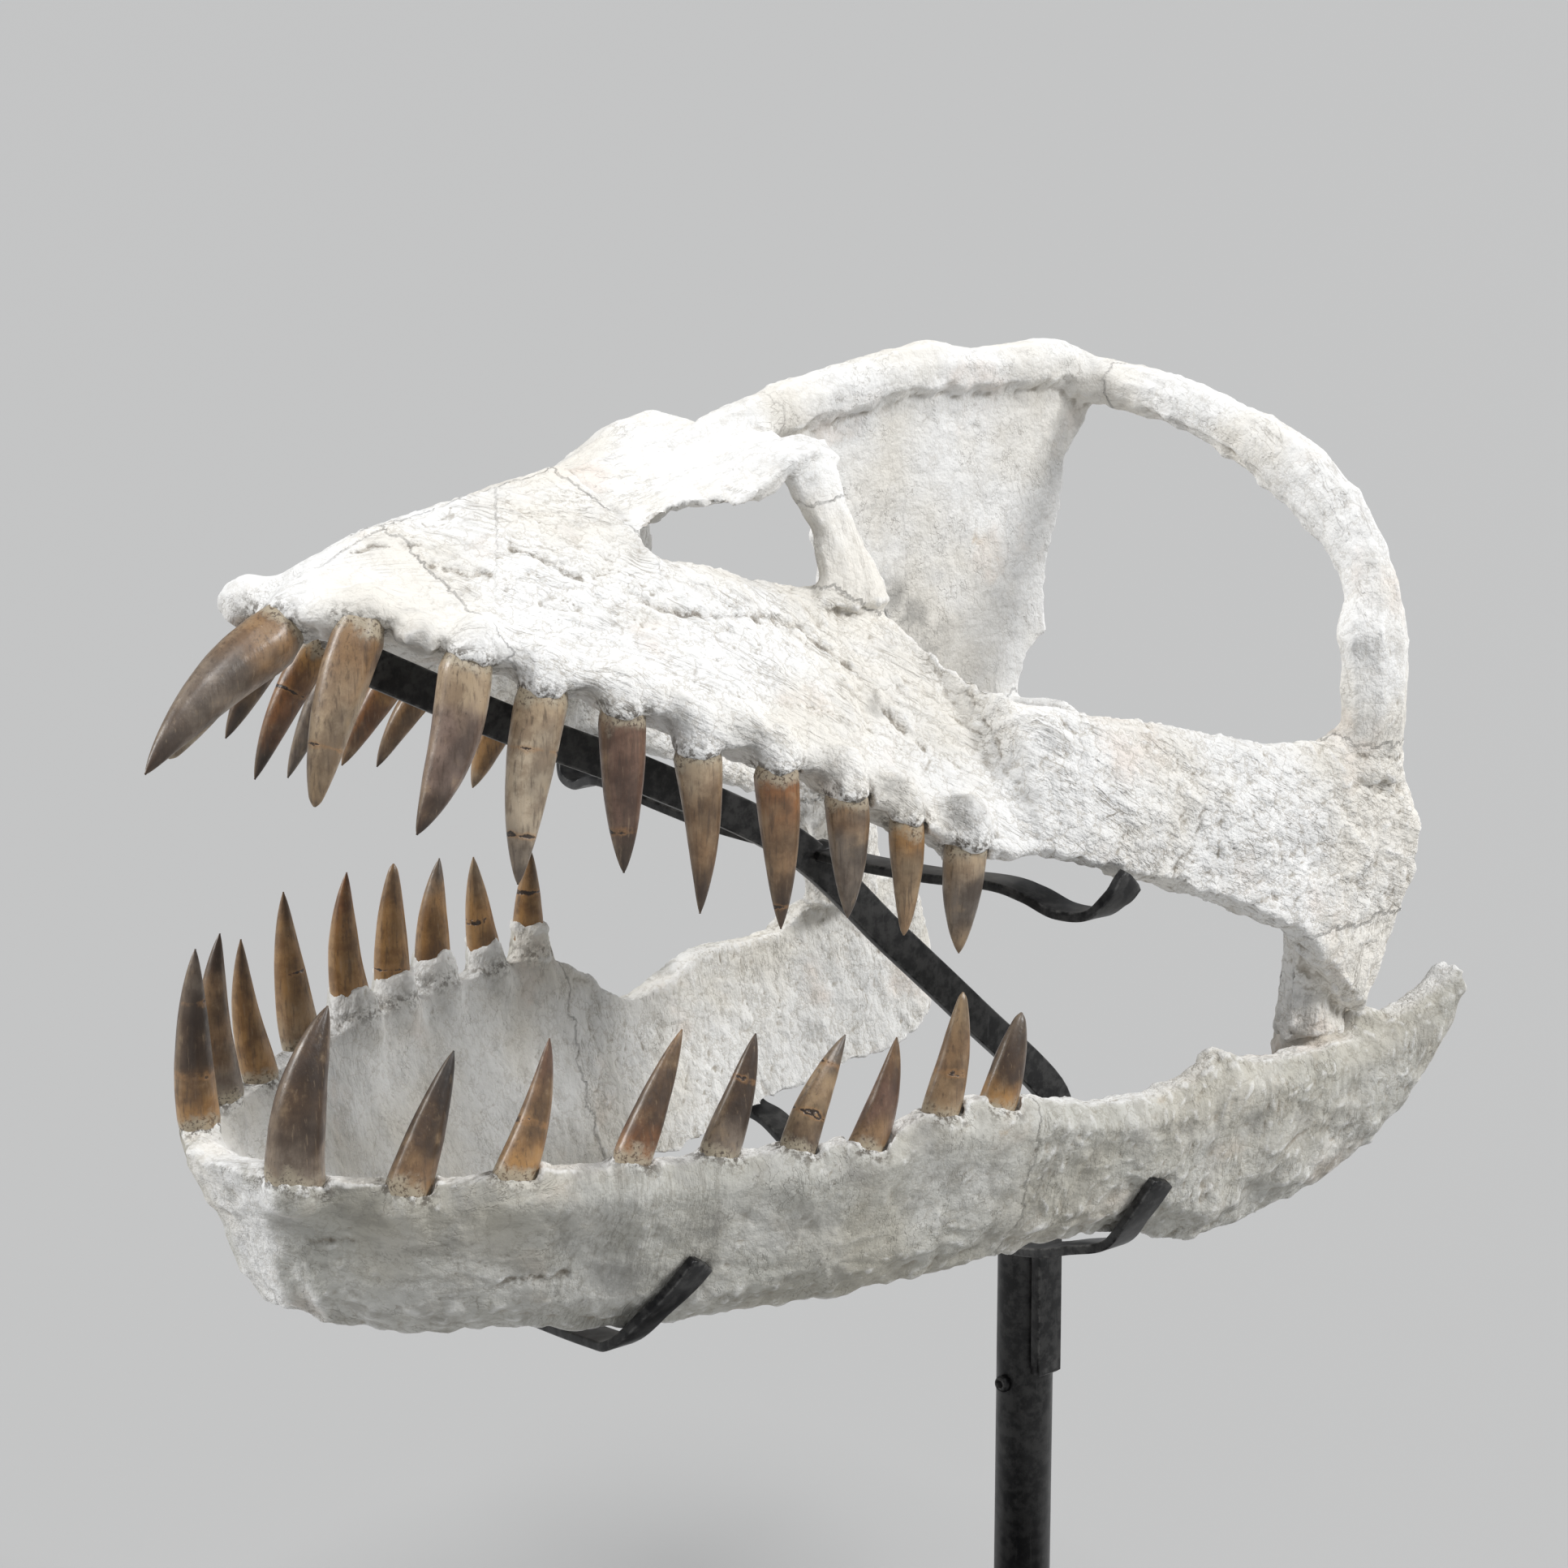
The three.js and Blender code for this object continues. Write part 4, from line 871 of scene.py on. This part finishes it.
def set_screw():
    """Round-headed screw with a hexagon socket, in the front of the post."""
    steps = [(0.5, 1, 0), (-SCREW_REACH + 0.8, 1, 0.4), (-SCREW_REACH, 0.82, 1), (-SCREW_REACH, 0.5, 1),
             (-SCREW_REACH + 1.6, 0.48, 0)]
    rings, edge = [], []
    for k, (reach, share, worn) in enumerate(steps):
        ring = []
        for j in range(SCREW_SIDES):
            a = j / SCREW_SIDES * 2 * math.pi
            hexagon = math.cos(math.pi / 6) / math.cos((a % (math.pi / 3)) - math.pi / 6)
            r = SCREW_RADIUS * share * (hexagon if k >= 3 else 1)
            ring.append((POST_X - POST_RADIUS + reach, math.cos(a) * r, SCREW_HEIGHT + math.sin(a) * r))
            edge.append(worn)
        rings.append(np.array(ring))
    return steel_piece("steel_set_screw", *skin_rings(rings), edge + [0, 0])


def stand():
    side, back, up = (0, 1, 0), (1, 0, 0), (0, 0, 1)
    bar_root = FLAT_BAR[1] / 2 + 0.3
    spine = [(x, SPINE_SIDE, z) for x, z in SPINE]
    left_bar = [(5, SPINE_SIDE - bar_root, -20), *outwards(CHEEK_BAR, LEFT)]
    right_bar = [(5, SPINE_SIDE + bar_root, -20), *CHEEK_BAR]
    front = [*outwards(FRONT_CRADLE[1:], LEFT)[::-1], *FRONT_CRADLE]
    rear = [*outwards(REAR_CRADLE_LEFT[1:], LEFT)[::-1], *REAR_CRADLE_RIGHT]
    r, inner, top, foot = POST_RADIUS, POST_RADIUS - POST_WALL, POST_TOP, POST_FOOT
    tube = [(r, foot, 0), (r, top - 0.8, 0.5), (r - 0.3, top - 0.2, 1), (r - 0.8, top, 1),
            (inner + 0.5, top, 1), (inner, top - 0.5, 1), (inner, top - 60, 0), (0.01, top - 60, 0),
            (0.01, foot, 0)]
    fillet = [(r - 1, foot + 4, 0.1), (r + 0.6, foot + 3.6, 0.2), (r + 2.6, foot + 2, 0.3),
              (r + 4, foot - 0.2, 0.2), (r - 1, foot - 0.2, 0)]
    return [
        flat_bar("steel_spine", spine, side, FLAT_BAR, "stand_spine"),
        flat_bar("steel_cheek_bar_left", left_bar, back, STRAP, "stand_cheek_bar_left"),
        flat_bar("steel_cheek_bar_right", right_bar, back, STRAP, "stand_cheek_bar_right"),
        flat_bar("steel_jaw_bar", JAW_BAR, up, FLAT_BAR, "stand_jaw_bar"),
        flat_bar("steel_front_cradle", front, back, STRAP, "stand_front_cradle"),
        flat_bar("steel_rear_cradle", rear, back, STRAP, "stand_rear_cradle"),
        turned("steel_post", tube, 48, "stand_post"),
        turned("steel_foot_weld", fillet, 72, uneven=0.35, seed=5),
        base_plate(),
        *[weld_bead(f"steel_weld_{name}", *bead, seed) for seed, (name, bead) in enumerate(WELDS.items(), 1)],
        set_screw(),
    ]


# ---- node materials ----
# Numbers of a colour Mix node's sockets.
MIX_FACTOR, MIX_FIRST, MIX_SECOND, MIX_RESULT = 0, 6, 7, 2


class Look:
    """Short way to write a material. `tint` and `bump` go on top of what is there."""

    def __init__(self, name):
        self.material = bpy.data.materials.new(name)
        self.material.use_nodes = True
        self.tree = self.material.node_tree
        self.shader = self.tree.nodes["Principled BSDF"]
        self.colour = self.normal = None

    def node(self, kind, output, inputs=(), **settings):
        """Adds a node, feeds its inputs with sockets or values, and returns one output."""
        node = self.tree.nodes.new("ShaderNode" + kind)
        for key, value in settings.items():
            setattr(node, key, value)
        for key, value in dict(inputs).items():
            self.feed(node.inputs[key], value)
        return node.outputs[output]

    def feed(self, socket, value):
        if isinstance(value, bpy.types.NodeSocket):
            self.tree.links.new(value, socket)
        elif isinstance(value, (int, float)):
            socket.default_value = value
        else:
            socket.default_value = (*value, 1)[:len(socket.default_value)]

    def value(self, name, output="Fac"):
        return self.node("Attribute", output, attribute_name=name)

    def place(self):
        return self.node("TexCoord", "Object")

    def scaled(self, vector, scale):
        return self.node("Mapping", "Vector", {"Vector": vector, "Scale": scale})

    def noise(self, vector, scale, detail=4.0, roughness=0.55):
        return self.node("TexNoise", "Fac", {"Vector": vector, "Scale": scale, "Detail": detail,
                                             "Roughness": roughness})

    def math(self, operation, a, b=0.0):
        return self.node("Math", 0, {0: a, 1: b}, operation=operation)

    def times(self, *values):
        product = values[0]
        for v in values[1:]:
            product = self.math("MULTIPLY", product, v)
        return product

    def centred(self, value):
        return self.math("SUBTRACT", value, 0.5)

    def inverse(self, value):
        return self.math("SUBTRACT", 1.0, value)

    def fold(self, value):
        """Valleys where a noise crosses its mean."""
        return self.math("ABSOLUTE", self.centred(value))

    def ramp(self, value, low, high, out_low=0.0, out_high=1.0):
        ends = {"From Min": low, "From Max": high, "To Min": out_low, "To Max": out_high}
        return self.node("MapRange", "Result", {"Value": value, **ends}, interpolation_type="SMOOTHSTEP")

    def mix(self, factor, a, b, blend="MIX"):
        inputs = {MIX_FACTOR: factor, MIX_FIRST: a, MIX_SECOND: b}
        return self.node("Mix", MIX_RESULT, inputs, data_type="RGBA", blend_type=blend)

    def tint(self, factor, colour, blend="MIX"):
        self.colour = self.mix(factor, self.colour, colour, blend)

    def bump(self, height, strength, distance):
        under = {"Normal": self.normal} if self.normal is not None else {}
        self.normal = self.node("Bump", "Normal", {"Height": height, "Strength": strength,
                                                   "Distance": distance, **under})

    def finish(self, **sockets):
        self.feed(self.shader.inputs["Base Color"], self.colour)
        if self.normal is not None:
            self.feed(self.shader.inputs["Normal"], self.normal)
        for name, value in sockets.items():
            self.feed(self.shader.inputs[name.replace("_", " ")], value)
        return self.material


def bone_material():
    n = Look("fossil_bone")
    place = n.place()
    grain = n.value("grain", "Vector")
    cavity = n.value("cavity")
    rough = n.math("ADD", n.value("rough"), 0.25)
    tone = n.value("tone")
    fibre = n.noise(grain, 420, 5, 0.6)
    streak = n.noise(grain, 150, 4, 0.6)
    fine = n.noise(place, 1100, 3, 0.65)
    patch = n.noise(place, 52, 4)
    mottle = n.noise(place, 210, 5, 0.68)
    thread = n.ramp(n.fold(n.noise(n.scaled(grain, (1.7, 1, 0.8)), 260, 3, 0.6)), 0.022, 0.004)
    thread = n.times(thread, n.ramp(n.noise(place, 75, 3), 0.47, 0.62))
    folds = n.fold(n.noise(place, 135, 4, 0.6))
    creases = n.fold(n.noise(grain, 250, 3, 0.6))
    # Clean bone: white to cream, with grey and pink patches.
    n.colour = n.mix(n.ramp(n.noise(place, 20, 3), 0.4, 0.64), (0.86, 0.855, 0.84), (0.79, 0.76, 0.70))
    n.tint(n.ramp(patch, 0.52, 0.75, 0, 0.4), (0.62, 0.62, 0.62))
    n.tint(n.ramp(n.noise(place, 31, 5), 0.57, 0.74, 0, 0.5), (0.77, 0.645, 0.55))
    # Fibres, mottles and fine lines.
    n.tint(n.times(n.ramp(fibre, 0.5, 0.72), rough, 0.34), (0.5, 0.485, 0.45))
    n.tint(n.times(n.ramp(mottle, 0.52, 0.7), n.ramp(patch, 0.42, 0.6), 0.35), (0.47, 0.46, 0.44))
    n.tint(n.times(thread, rough, 0.42), (0.24, 0.21, 0.17))
    n.tint(n.times(n.ramp(folds, 0.03, 0.0), rough, 0.4), (0.46, 0.42, 0.36))
    # Jaw darkened by a grey patina and painted shade on its faces, painted highlight on ridges, painted shade
    # in hollows and in soft patches, and grime.
    clouded = n.times(tone, n.ramp(n.noise(place, 38, 5, 0.6), 0.3, 0.65, 0.68, 1))
    n.tint(clouded, (0.6, 0.595, 0.55), "MULTIPLY")
    n.tint(n.times(tone, n.ramp(streak, 0.48, 0.66, 0, 0.5)), (0.3, 0.285, 0.25))
    # Painted highlight on ridges and painted shade in hollows, from how the surface bends.
    n.tint(n.ramp(cavity, -0.2, -0.9, 0, 0.5), (0.88, 0.875, 0.86))
    n.tint(n.times(n.ramp(cavity, 0.15, 0.9, 0, 0.7), n.ramp(mottle, 0.35, 0.6, 0.3, 1)), (0.31, 0.27, 0.215))
    # Soft grey patches of painted shade.
    n.tint(n.times(n.value("stain"), n.ramp(n.noise(place, 120, 5, 0.7), 0.3, 0.62, 0.12, 0.72)),
           (0.27, 0.262, 0.245))
    n.tint(n.times(n.value("grime"), n.ramp(n.noise(place, 420, 5, 0.72), 0.45, 0.58), 0.9),
           (0.1, 0.083, 0.064))
    n.tint(n.ramp(n.noise(place, 46, 6, 0.6), 0.68, 0.78, 0, 0.5), (0.55, 0.38, 0.2))
    rough = n.times(rough, n.inverse(n.times(tone, 0.45)))
    n.bump(streak, 0.45, 0.0010)
    n.bump(n.times(fibre, rough), 0.55, 0.0007)
    n.bump(n.times(folds, rough), 0.75, 0.0034)
    n.bump(n.times(creases, rough), 0.6, 0.0014)
    n.bump(mottle, 0.5, 0.0008)
    n.bump(n.inverse(thread), 0.5, 0.0004)
    n.bump(fine, 0.45, 0.0003)
    return n.finish(Roughness=n.ramp(fine, 0.2, 0.8, 0.75, 0.95), Specular_IOR_Level=0.25)


def tooth_material():
    n = Look("fossil_tooth")
    own = n.value("own", "Vector")
    lines = n.noise(n.scaled(own, (1, 1, 0.12)), 900, 5, 0.65)
    cloud = n.noise(own, 150, 5, 0.62)
    speck = n.noise(own, 900, 3, 0.7)
    n.colour = n.value("tint", "Color")
    n.tint(n.ramp(cloud, 0.42, 0.62, 0, 0.7), (0.5, 0.44, 0.4), "MULTIPLY")
    n.tint(n.ramp(cloud, 0.45, 0.25, 0, 0.3), (0.46, 0.33, 0.2))
    n.tint(n.ramp(lines, 0.5, 0.68, 0, 0.55), (0.055, 0.036, 0.024))
    n.tint(n.ramp(lines, 0.42, 0.3, 0, 0.25), (0.42, 0.31, 0.2))
    n.tint(n.ramp(speck, 0.66, 0.74, 0, 0.6), (0.03, 0.022, 0.018))
    # Cracks, which wander and have a rusty halo.
    crack = n.math("ABSOLUTE", n.math("ADD", n.value("crack"), n.times(n.centred(cloud), 5.0)))
    split = n.ramp(crack, 0.5, 0.15)
    n.tint(n.ramp(crack, 1.4, 0.3, 0, 0.5), (0.38, 0.2, 0.08))
    n.tint(split, (0.035, 0.022, 0.015))
    # Sand that clings to the root.
    sand = n.ramp(n.math("SUBTRACT", n.value("run"), n.times(n.centred(cloud), 14.0)), 5.5, 1.0)
    n.tint(n.times(sand, 0.85), n.mix(n.ramp(speck, 0.5, 0.62), (0.44, 0.38, 0.28), (0.12, 0.095, 0.07)))
    n.bump(lines, 0.3, 0.0004)
    n.bump(cloud, 0.3, 0.0008)
    n.bump(n.inverse(split), 0.5, 0.0006)
    return n.finish(Roughness=n.ramp(cloud, 0.3, 0.7, 0.3, 0.5), Specular_IOR_Level=0.55,
                    Coat_Weight=0.15, Coat_Roughness=0.25)


def steel_material():
    n = Look("black_steel")
    place = n.place()
    broad = n.noise(place, 45, 4)
    scratch = n.ramp(n.noise(n.scaled(place, (1, 1, 0.06)), 900, 2), 0.66, 0.72)
    worn = n.times(n.value("edge"), n.ramp(n.noise(place, 240, 4, 0.65), 0.4, 0.62))
    n.colour = n.mix(n.ramp(broad, 0.35, 0.7), (0.005, 0.005, 0.0055), (0.012, 0.012, 0.0125))
    n.tint(n.times(worn, 0.7), (0.11, 0.108, 0.104))
    n.tint(n.times(scratch, 0.3), (0.06, 0.06, 0.058))
    n.tint(n.ramp(n.noise(place, 120, 5, 0.7), 0.6, 0.8, 0, 0.05), (0.3, 0.29, 0.27))
    n.bump(n.noise(place, 800, 3), 0.12, 0.0002)
    return n.finish(Roughness=n.ramp(broad, 0.3, 0.7, 0.3, 0.44), Specular_IOR_Level=0.28)


# ---- build ----
TOOTHED = {"premaxilla", "maxilla_left", "maxilla_right", "dentary"}
UPPER_ROWS = [teeth_of(LEFT_UPPER, LEFT), teeth_of(RIGHT_UPPER, RIGHT)]
LOWER_ROWS = [teeth_of(LEFT_LOWER, LEFT), teeth_of(RIGHT_LOWER, RIGHT)]
# Profiles along a tooth: (reach in mm, share of its radius, extra mm); None is past the tip.
CUT = [(0.8, 1.12, 0.6), (6, 1.12, 0.6), (None, 1.1, 2.5)]
FRONT_COLLAR = [(-20, 0.9, 0), (-10, 1.12, 0), (-4, 1.1, 0), (-1, 1.03, 0), (1, 0.93, 0.2)]
SNOUT_COLLAR = [(-13, 0.6, 0), (-8, 1.1, 0), (-5, 1.2, 0), (-1, 1.08, 0), (1.2, 0.95, 0.2)]
BROAD_COLLAR = [(-14, 0.5, 0), (-9, 0.95, 0), (-4, 1.12, 0), (-1, 1.08, 0), (1.2, 0.95, 0.2)]
UPPER_COLLAR = [(-14, 0.6, 0), (-8, 1.02, 0), (-2, 1.08, 0.2), (1.2, 0.95, 0.2)]
NEAR_COLLAR = [(-9, 0.8, 0), (-3, 1.06, 0), (1.2, 0.95, 0.2)]
FAR_COLLAR = [(-9, 1.7, 0), (-2, 1.5, 0), (3, 1.24, 0.2), (7, 1.06, 0.3), (9.5, 0.96, 0.4)]
UPPER_COLLARS = [[FRONT_COLLAR, SNOUT_COLLAR] + [BROAD_COLLAR] * 2 + [UPPER_COLLAR] * 6,
                 [FRONT_COLLAR] + [UPPER_COLLAR] * 7]
LOWER_COLLARS = [[NEAR_COLLAR] * 9, [NEAR_COLLAR] * 4 + [FAR_COLLAR] * 5]
# Bone that bridges the roots of the front fangs, built like collars round axes of its own.
SNOUT_AXES = [(-188, 19, 73, -213, 23, 38, 15, 0, 0, 0), (-171, 39, 69, -190, 43, 28, 13, 0, 0, 0)]
SNOUT_FILLING = [(-13, 0.6, 0), (-7, 1.1, 0), (-3, 1.1, 0), (0, 0.8, 0)]
# Granular filling of the left jaw joint, round upright axes.
JOINT_AXES = [(124, 107, -96, 124, 107, -72, 18, 0, 0, 0), (138, 116, -96, 139, 116, -73, 15, 0, 0, 0)]
JOINT_FILLING = [(0, 1.2, 0), (10, 1.3, 0), (17, 1.15, 0), (22, 0.7, 0)]

SNOUT_FILLINGS = [(teeth_of(SNOUT_AXES, side), [SNOUT_FILLING] * 2) for side in (LEFT, RIGHT)]
JOINT_FILLINGS = [(teeth_of(JOINT_AXES, LEFT), [JOINT_FILLING] * 2)]
SKULL_SEED, JAW_SEED = 3, 11
# Whether a skin's faces get the grey patina and painted shade: the skull's don't, the jaw's do.
CLEAN, SHADED_AND_PATINATED = 0.0, 1.0
# How far the bone rises between the sockets, mm, and how strongly the roots swell.
SKULL_ARCH, JAW_ARCH = (3.4, 0.4), (1.0, 0.6)
ROW_SEEDS = {"teeth_upper_left": 20, "teeth_upper_right": 40, "teeth_lower_left": 60, "teeth_lower_right": 80}

bone_parts = bone_pieces(CRANIUM, UPPER_ROWS, (SKULL_CRACKS, SKULL_LUMPS, SKULL_SHADE_PATCHES), SKULL_SEED,
                         SKULL_ARCH, CLEAN, UPPER_COLLARS, SNOUT_FILLINGS)
bone_parts += bone_pieces(LOWER_JAW, LOWER_ROWS, (JAW_CRACKS, JAW_LUMPS, JAW_SHADE_PATCHES), JAW_SEED,
                          JAW_ARCH, SHADED_AND_PATINATED, LOWER_COLLARS, JOINT_FILLINGS)
tooth_rows = [tooth_row(name, teeth, seed)
              for (name, seed), teeth in zip(ROW_SEEDS.items(), UPPER_ROWS + LOWER_ROWS)]
steel_parts = stand()
for parts, material in ((bone_parts, bone_material()), (tooth_rows, tooth_material()),
                        (steel_parts, steel_material())):
    for part in parts:
        part.data.materials.append(material)

# ---- stage ----
FLOOR_HALF = 40.0
FLOOR_GREY = (0.4, 0.4, 0.397)
VIEW_TURN = -42
VIEW_RISE = 13.2
VIEW_DISTANCE = 1.3
LENS, SENSOR = 96.9, 36
TARGET = Vector((-0.030, 0, 0.400))
# Wide soft suns: how far each stands to the right of the camera, seen from the head; how high; how strong.
SUNS = {"left_softbox": (-84, 32, 2.1), "high_softbox": (20, 62, 1.2), "right_softbox": (78, 34, 1.9),
        "rim": (130, 22, 0.7)}
SUN_WIDTH = 16
WORLD_COLOUR, WORLD_STRENGTH = (0.92, 0.95, 1.0, 1), 0.26


def aim_at_head(name, data, turn, rise, distance):
    """Object that looks at the head from a side and a height, in degrees."""
    obj = linked(name, data)
    turn, rise = math.radians(turn), math.radians(rise)
    back = Vector((math.sin(turn) * math.cos(rise), -math.cos(turn) * math.cos(rise), math.sin(rise)))
    obj.location = TARGET + back * distance
    obj.rotation_euler = (-back).to_track_quat("-Z", "Y").to_euler()
    return obj


floor_mesh = bpy.data.meshes.new("floor")
floor_mesh.from_pydata([(-FLOOR_HALF, -FLOOR_HALF, 0), (FLOOR_HALF, -FLOOR_HALF, 0),
                        (FLOOR_HALF, FLOOR_HALF, 0), (-FLOOR_HALF, FLOOR_HALF, 0)], [], [(0, 1, 2, 3)])
floor = linked("floor", floor_mesh)
floor_look = Look("floor")
floor_look.colour = FLOOR_GREY
floor.data.materials.append(floor_look.finish(Roughness=0.85))

camera_data = bpy.data.cameras.new("camera")
camera_data.lens = LENS
camera_data.sensor_width = SENSOR
bpy.context.scene.camera = aim_at_head("camera", camera_data, VIEW_TURN, VIEW_RISE, VIEW_DISTANCE)
for name, (turn, rise, energy) in SUNS.items():
    light = bpy.data.lights.new(name, "SUN")
    light.energy = energy
    light.angle = math.radians(SUN_WIDTH)
    aim_at_head(name, light, VIEW_TURN + turn, rise, 1)
world = bpy.data.worlds.new("world")
world.use_nodes = True
sky = world.node_tree.nodes["Background"].inputs
sky["Color"].default_value = WORLD_COLOUR
sky["Strength"].default_value = WORLD_STRENGTH
bpy.context.scene.world = world
bpy.context.scene.view_settings.view_transform = "Standard"
